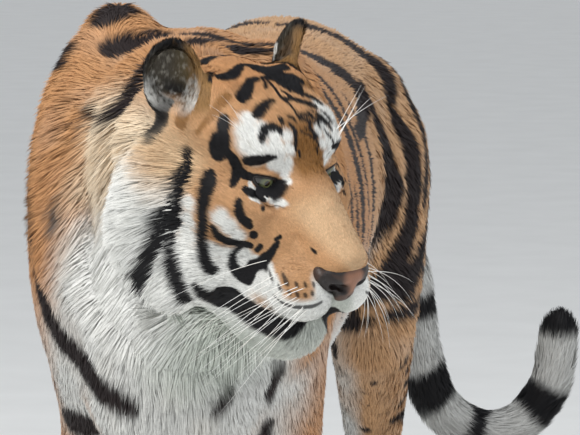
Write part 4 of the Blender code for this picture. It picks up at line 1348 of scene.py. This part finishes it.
def coat_piece(name, blade, facing, tones, where):
    """A mesh of tufts; each has four corners and two faces, and a patch of its own on the OFBake map."""
    count = len(blade)
    mesh = bpy.data.meshes.new(name)
    first = np.arange(count)[:, None] * 4
    faces = np.concatenate((first + (0, 1, 3), first + (1, 2, 3)), 1).reshape(-1)
    mesh.vertices.add(count * 4)
    mesh.vertices.foreach_set("co", blade.astype(np.float32).ravel())
    mesh.loops.add(count * 6)
    mesh.loops.foreach_set("vertex_index", faces.astype(np.int32))
    mesh.polygons.add(count * 2)
    mesh.polygons.foreach_set("loop_start", np.arange(count * 2, dtype=np.int32) * 3)
    mesh.update(calc_edges=True)
    painted(mesh, tones.reshape(-1, 3))
    corner = np.array(((0, -0.5), (-0.5, 0), (0, 0.5), (0.5, 0))) * PATCH
    uv = (where[:, None] + corner).reshape(-1, 2)[faces]
    mesh.uv_layers.new(name="OFBake").data.foreach_set("uv", uv.astype(np.float32).ravel())
    mesh.shade_smooth()
    mesh.normals_split_custom_set_from_vertices(np.repeat(facing, 4, axis=0).astype(np.float32))
    piece = bpy.data.objects.new(name, mesh)
    bpy.context.scene.collection.objects.link(piece)
    return piece


# --- materials ----------------------------------------------------------------------------------------------


class Shader:
    """A Principled material whose nodes are added in words."""

    def __init__(self, name, **values):
        self.material = bpy.data.materials.new(name)
        self.material.use_nodes = True
        self.tree = self.material.node_tree
        self.surface = self.tree.nodes["Principled BSDF"]
        for socket, value in values.items():
            self.surface.inputs[socket.replace("_", " ")].default_value = value

    def node(self, kind, values=(), **settings):
        node = self.tree.nodes.new("ShaderNode" + kind)
        for setting, value in settings.items():
            setattr(node, setting, value)
        for socket, value in dict(values).items():
            if isinstance(value, bpy.types.NodeSocket):
                self.tree.links.new(value, node.inputs[socket])
            else:
                node.inputs[socket].default_value = value
        return node

    def link(self, output, socket):
        self.tree.links.new(output, self.surface.inputs[socket])

    def ramp(self, factor, *stops):
        node = self.node("ValToRGB", {"Fac": factor})
        line = node.color_ramp.elements
        while len(line) < len(stops):
            line.new(0.5)
        for element, (place, colour) in zip(line, stops):
            element.position = place
            element.color = (*colour, 1)
        return node.outputs["Color"]

    def bump(self, height, distance, strength=1.0):
        node = self.node("Bump", {"Height": height, "Distance": distance, "Strength": strength})
        self.link(node.outputs["Normal"], "Normal")


def coat_material(name, roughness, bumpy):
    shader = Shader(name, Roughness=roughness, Specular_IOR_Level=0.25)
    colour = shader.node("Attribute", attribute_name="Coat").outputs["Color"]
    place = shader.node("TexCoord").outputs["Object"]
    grain = shader.node("TexNoise", {"Vector": place, "Scale": 420.0, "Detail": 3.0})
    patch = shader.node("TexNoise", {"Vector": place, "Scale": 38.0, "Detail": 2.0})
    shade = shader.node("MapRange", {"Value": grain.outputs["Fac"], "To Min": 0.80, "To Max": 1.20})
    broad = shader.node("MapRange", {"Value": patch.outputs["Fac"], "To Min": 0.92, "To Max": 1.08})
    both = {0: shade.outputs["Result"], 1: broad.outputs["Result"]}
    factor = shader.node("Math", both, operation="MULTIPLY")
    scaled = shader.node("VectorMath", {0: colour, "Scale": factor.outputs["Value"]}, operation="SCALE")
    shader.link(scaled.outputs["Vector"], "Base Color")
    if bumpy:
        shader.bump(grain.outputs["Fac"], 0.0012, 0.6)
    return shader.material


tones = colours(coordinates(skin.data), normals(skin.data))
painted(skin.data, tones)
skin.data.materials.append(coat_material("skin_fur", 0.75, True))
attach(skin, "root")
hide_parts(*FLESH)
fur = coat_material("fur", 0.55, False)
for piece in grow_coat(skin, owner):
    piece.data.materials.append(fur)
    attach(piece, "root")


# --- eyes ---------------------------------------------------------------------------------------------------


def eye_material():
    shader = Shader("eye_gloss", Roughness=0.12, Coat_Weight=0.5, Coat_Roughness=0.04)
    place = shader.node("TexCoord").outputs["Object"]
    flat = shader.node("VectorMath", {0: place, 1: (1, 1, 0)}, operation="MULTIPLY").outputs["Vector"]
    radius = shader.node("VectorMath", {0: flat}, operation="LENGTH").outputs["Value"]
    part = shader.node("Math", {0: radius, 1: 0.016}, operation="DIVIDE").outputs["Value"]
    fibres = shader.node("TexNoise", {"Vector": place, "Scale": 900.0, "Detail": 3.0})
    wobble = shader.node("MapRange", {"Value": fibres.outputs["Fac"], "To Min": -0.02, "To Max": 0.02})
    edge = shader.node("Math", {0: part, 1: wobble.outputs["Result"]}, operation="ADD").outputs["Value"]
    # The iris's grey-green and its rings are its own colours, darkened as painted shade from the upper lid
    dark, iris, ring = srgb(8, 8, 8), srgb(84, 89, 63), srgb(26, 25, 20)
    colour = shader.ramp(
        edge, (0.0, dark), (0.185, dark), (0.215, srgb(92, 92, 52)), (0.34, iris), (0.46, srgb(62, 67, 50)),
        (0.55, ring), (0.60, srgb(16, 13, 12)), (0.80, srgb(34, 26, 23)),
    )
    shader.link(colour, "Base Color")
    return shader.material


def make_eye(side, sign, material):
    gaze, _, up = eye_axes(sign)
    across = np.cross(up, gaze)
    turn = Matrix((across, up, gaze)).transposed().to_4x4()
    ball = bmesh.new()
    bmesh.ops.create_uvsphere(ball, u_segments=64, v_segments=48, radius=EYE_RADIUS)
    for vertex in ball.verts:
        bulge = math.exp(-((Vector(vertex.co[:2]).length / 0.0095) ** 4))
        if vertex.co.z > 0:
            vertex.co.z += 0.0010 * bulge
    eye = mesh_object(f"eyeball_{side}", ball)
    eye.data.shade_smooth()
    eye.matrix_world = HEAD @ Matrix.Translation(mirrored(EYE, sign)) @ turn
    eye.data.materials.append(material)
    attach(eye, "root")
    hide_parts(f"eye_{side}")


def tube_mesh(path, radii, around=8, closed=False):
    """A tube through points, with a radius at each."""
    form = bmesh.new()
    rings = []
    count = len(path)
    across = None
    for index, place in enumerate(path):
        after = path[(index + 1) % count if closed else min(index + 1, count - 1)]
        before = path[(index - 1) % count if closed else max(index - 1, 0)]
        ahead = (Vector(after) - Vector(before)).normalized()
        if across is None:
            across = ahead.orthogonal().normalized()
        across = (across - ahead * across.dot(ahead)).normalized()
        over = ahead.cross(across)
        ring = [
            form.verts.new(Vector(place) + (across * math.cos(a) + over * math.sin(a)) * radii[index])
            for a in (step / around * math.tau for step in range(around))
        ]
        rings.append(ring)
    pairs = list(zip(rings, rings[1:])) + ([(rings[-1], rings[0])] if closed else [])
    for ring, following in pairs:
        for step in range(around):
            form.faces.new((ring[step - 1], ring[step], following[step], following[step - 1]))
    if not closed:
        form.faces.new(list(reversed(rings[0])))
        form.faces.new(rings[-1])
    bmesh.ops.recalc_face_normals(form, faces=form.faces)
    return form


def lid_edge(sign, distance, steps=56):
    """Places round the lids' opening, in head space."""
    axes = eye_axes(sign)
    places = []
    for step in range(steps):
        angle = step / steps * math.tau
        along = math.copysign(abs(math.cos(angle)) ** (2 / ALONG_POWER), math.cos(angle))
        height, skew = (UPPER_LID, UPPER_SKEW) if math.sin(angle) > 0 else (LOWER_LID, LOWER_SKEW)
        rise = math.copysign(abs(math.sin(angle)) ** (2 / RISE_POWER), math.sin(angle))
        rise *= height * (1 + skew * along)
        across, rise = math.radians(along * OPENING[along > 0]), math.radians(rise)
        level = math.cos(rise)
        local = np.array((level * math.cos(across), level * math.sin(across), math.sin(rise)))
        places.append(Vector(local @ axes) * distance + mirrored(EYE, sign))
    return places


def rim_material():
    shader = Shader("lid_rim", Roughness=0.35, Specular_IOR_Level=0.5)
    place = shader.node("TexCoord").outputs["Object"]
    grain = shader.node("TexNoise", {"Vector": place, "Scale": 700.0, "Detail": 2.0})
    colour = shader.ramp(grain.outputs["Fac"], (0.3, srgb(14, 12, 12)), (0.7, srgb(38, 30, 28)))
    shader.link(colour, "Base Color")
    shader.bump(grain.outputs["Fac"], 0.0003, 0.6)
    return shader.material


eye_gloss, rim_dark = eye_material(), rim_material()
for side, sign in SIDES.items():
    make_eye(side, sign, eye_gloss)
    path = [HEAD @ place for place in lid_edge(sign, EYE_RADIUS + 0.0009)]
    rim = mesh_object(f"lid_rim_{side}", tube_mesh(path, [0.0013] * len(path), 8, True))
    rim.data.shade_smooth()
    rim.data.materials.append(rim_dark)
    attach(rim, "root")


# --- the nose leather ---------------------------------------------------------------------------------------


def nose_material():
    shader = Shader("nose_skin", Roughness=0.45, Specular_IOR_Level=0.45)
    place = shader.node("TexCoord").outputs["Object"]
    cells = shader.node("TexVoronoi", {"Vector": place, "Scale": 620.0})
    blotch = shader.node("TexNoise", {"Vector": place, "Scale": 90.0, "Detail": 4.0})
    colour = shader.node("Attribute", attribute_name="Coat").outputs["Color"]
    shade = shader.node("MapRange", {"Value": blotch.outputs["Fac"], "To Min": 0.75, "To Max": 1.25})
    scaled = shader.node("VectorMath", {0: colour, "Scale": shade.outputs["Result"]}, operation="SCALE")
    shader.link(scaled.outputs["Vector"], "Base Color")
    shader.bump(cells.outputs["Distance"], 0.0004, 0.5)
    return shader.material


def make_nose():
    form = bmesh.new()
    ellipsoid(form, (0.1000, 0, -0.0570), (0.0165, 0.0320, 0.0125), (0, 20, 0))
    ellipsoid(form, (0.1035, 0, -0.0700), (0.0140, 0.0150, 0.0215), (0, 4, 0))
    for sign in SIDES.values():
        wing, corner = mirrored((0.0975, 0.0190, -0.0640), sign), mirrored((0.0905, 0.0290, -0.0610), sign)
        ellipsoid(form, wing, (0.0160, 0.0160, 0.0135), (0, 0, sign * 10))
        ellipsoid(form, corner, (0.0150, 0.0085, 0.0095), (0, 0, sign * 20))
    pad = mesh_object("nose_pad", form)
    melt = pad.modifiers.new("Melt", "REMESH")
    melt.mode = "VOXEL"
    melt.voxel_size = 0.0010
    baked(pad)
    co = relaxed(coordinates(pad.data), edges(pad.data), 22)
    set_coordinates(pad.data, co)
    out = normals(pad.data) @ HEAD_TURN
    head = to_head(co)
    comma = (
        (0.114, 0.0095, -0.0700), (0.113, 0.0165, -0.0690),
        (0.108, 0.0240, -0.0655), (0.102, 0.0290, -0.0620),
    )
    distance, _ = from_line(folded(head), comma)
    head = head - np.array((1.0, 0, 0)) * (0.0095 * np.exp(-((distance / 0.0044) ** 4)))[:, None]
    middle, _ = from_line(head, ((0.114, 0, -0.062), (0.116, 0, -0.094)))
    head = head - out * (0.0016 * np.exp(-((middle / 0.0013) ** 2)))[:, None]
    set_coordinates(pad.data, from_head(head))
    pad.data.shade_smooth()
    dark = np.exp(-((distance / 0.0070) ** 4))
    edge = ramp(np.abs(head[:, 1]), 0.008, 0.019) * 0.9 + ramp(-head[:, 2], 0.069, 0.080) * 0.8
    edge += ramp(head[:, 2], -0.054, -0.048) * 0.6
    brown = np.broadcast_to(srgb(140, 98, 76), (len(head), 3))
    tone = mixed(brown, srgb(30, 22, 20), np.clip(dark + edge, 0, 1))
    painted(pad.data, tone)
    pad.data.materials.append(nose_material())
    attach(pad, "root")
    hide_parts("nose")


make_nose()


# --- whiskers -----------------------------------------------------------------------------------------------


def whisker_material():
    shader = Shader("whisker", Roughness=0.35, Specular_IOR_Level=0.5)
    place = shader.node("TexCoord").outputs["Object"]
    grain = shader.node("TexNoise", {"Vector": place, "Scale": 60.0, "Detail": 1.0})
    colour = shader.ramp(grain.outputs["Fac"], (0.3, srgb(236, 232, 224)), (0.7, srgb(252, 252, 250)))
    shader.link(colour, "Base Color")
    return shader.material


# Rows of whiskers: how many, the first root's degrees back, the step to the next, degrees round, length in
# metres, and the heading and droop in head space
NEAR_WHISKERS = (
    (5, 30, -3.2, 113, 0.115, (-0.25, 0.80, -0.45), (-0.25, -0.15, -0.55)),
    (6, 29, -2.8, 119, 0.125, (-0.20, 0.70, -0.60), (-0.25, -0.20, -0.50)),
    (6, 28, -2.8, 125, 0.120, (-0.15, 0.55, -0.80), (-0.25, -0.20, -0.40)),
    (4, 24, -3.0, 130, 0.090, (-0.15, 0.50, -0.85), (-0.20, -0.15, -0.30)),
    (4, 66, 2.4, 42, 0.075, (-0.10, 0.35, 0.70), (-0.20, 0.25, -0.35)),
)
FAR_WHISKERS = (
    (5, 30, -3.2, 113, 0.090, (0.10, 0.90, -0.20), (-0.15, -0.10, -0.45)),
    (5, 28, -3.2, 119, 0.100, (0.15, 0.85, -0.35), (-0.15, -0.15, -0.45)),
    (4, 26, -3.0, 125, 0.090, (0.10, 0.75, -0.55), (-0.20, -0.15, -0.35)),
    (4, 24, -3.0, 130, 0.075, (0.05, 0.60, -0.75), (-0.20, -0.15, -0.30)),
    (5, 62, 2.6, 40, 0.080, (-0.10, 0.45, 0.60), (-0.20, 0.25, -0.35)),
)
WHISKER_STEPS = 14
WHISKER_ROOT = 0.00042


def make_whiskers(skin):
    chance = np.random.default_rng(3)
    tree = BVHTree.FromPolygons(
        [vertex.co for vertex in skin.data.vertices], [face.vertices for face in skin.data.polygons],
    )
    material = whisker_material()
    turn = HEAD.to_3x3()
    middle = HEAD @ Vector(CHART_MIDDLE)
    for side, rows in (("left", FAR_WHISKERS), ("right", NEAR_WHISKERS)):
        sign = SIDES[side]
        forms = bmesh.new()
        for count, back, step_back, around, reach, heading, droop in rows:
            for index in range(count):
                ray = turn @ Vector(chart_ray(back + index * step_back, -sign * (around + index * 0.5)))
                hit = tree.ray_cast(middle + ray * 0.3, -ray)[0]
                length = reach * chance.uniform(0.8, 1.15)
                aim = mirrored(Vector(heading) + Vector(chance.uniform(-0.16, 0.16, 3)), sign)
                sag = mirrored(Vector(droop) + Vector(chance.uniform(-0.10, 0.10, 3)), sign)
                aim, sag = (turn @ aim).normalized(), turn @ sag
                path = []
                for step in range(WHISKER_STEPS + 1):
                    t = step / WHISKER_STEPS
                    path.append(hit - ray * 0.002 + aim * length * t + sag * length * 0.6 * t * t)
                radii = [WHISKER_ROOT * (1 - 0.9 * step / WHISKER_STEPS) for step in range(WHISKER_STEPS + 1)]
                single = bpy.data.meshes.new("single")
                tube_mesh(path, radii, 5).to_mesh(single)
                forms.from_mesh(single)
                bpy.data.meshes.remove(single)
        piece = mesh_object(f"whiskers_{side}", forms)
        piece.data.shade_smooth()
        piece.data.materials.append(material)
        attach(piece, "root")


make_whiskers(skin)


# --- floor, light and camera --------------------------------------------------------------------------------


def floor_material():
    shader = Shader("floor_pale", Roughness=0.8)
    place = shader.node("TexCoord").outputs["Object"]
    grain = shader.node("TexNoise", {"Vector": place, "Scale": 6.0, "Detail": 4.0})
    colour = shader.ramp(grain.outputs["Fac"], (0.3, (0.86, 0.87, 0.86)), (0.7, (0.90, 0.91, 0.90)))
    shader.link(colour, "Base Color")
    return shader.material


form = bmesh.new()
bmesh.ops.create_grid(form, x_segments=2, y_segments=2, size=60)
floor = mesh_object("floor", form)
floor.location.z = -0.0005
floor.data.materials.append(floor_material())


def add_light(name, place, aim, size, power, colour):
    lamp = bpy.data.lights.new(name, "AREA")
    lamp.shape = "DISK"
    lamp.size = size
    lamp.energy = power
    lamp.color = colour
    light = bpy.data.objects.new(name, lamp)
    light.location = place
    light.rotation_euler = (Vector(aim) - Vector(place)).to_track_quat("-Z", "Y").to_euler()
    bpy.context.scene.collection.objects.link(light)


add_light("sky_soft", (-1.6, -3.2, 4.2), (0, -0.5, 0.6), 3.0, 175, (1.0, 0.985, 0.96))
add_light("sky_far", (3.2, -1.5, 3.4), (0, 0, 0.6), 3.5, 60, (0.94, 0.97, 1.0))
world = bpy.data.worlds.new("soft_sky")
world.use_nodes = True
world.node_tree.nodes["Background"].inputs["Color"].default_value = (0.88, 0.90, 0.93, 1)
world.node_tree.nodes["Background"].inputs["Strength"].default_value = 0.60
bpy.context.scene.world = world
bpy.context.scene.view_settings.view_transform = "Standard"

PICTURE_WIDTH = 580
SIGHT = 4275  # the lens's length in pixels of the picture
TILT = math.atan(413.5 / SIGHT)
SWING = math.radians(6.5)
lens = bpy.data.cameras.new("camera")
lens.sensor_width = 36
lens.lens = SIGHT / PICTURE_WIDTH * lens.sensor_width
lens.clip_end = 200
camera = bpy.data.objects.new("camera", lens)
camera.location = (0.5653, -5.3014, 1.15)
ahead = Vector((-math.sin(SWING) * math.cos(TILT), math.cos(SWING) * math.cos(TILT), -math.sin(TILT)))
camera.rotation_euler = ahead.to_track_quat("-Z", "Y").to_euler()
bpy.context.scene.collection.objects.link(camera)
bpy.context.scene.camera = camera
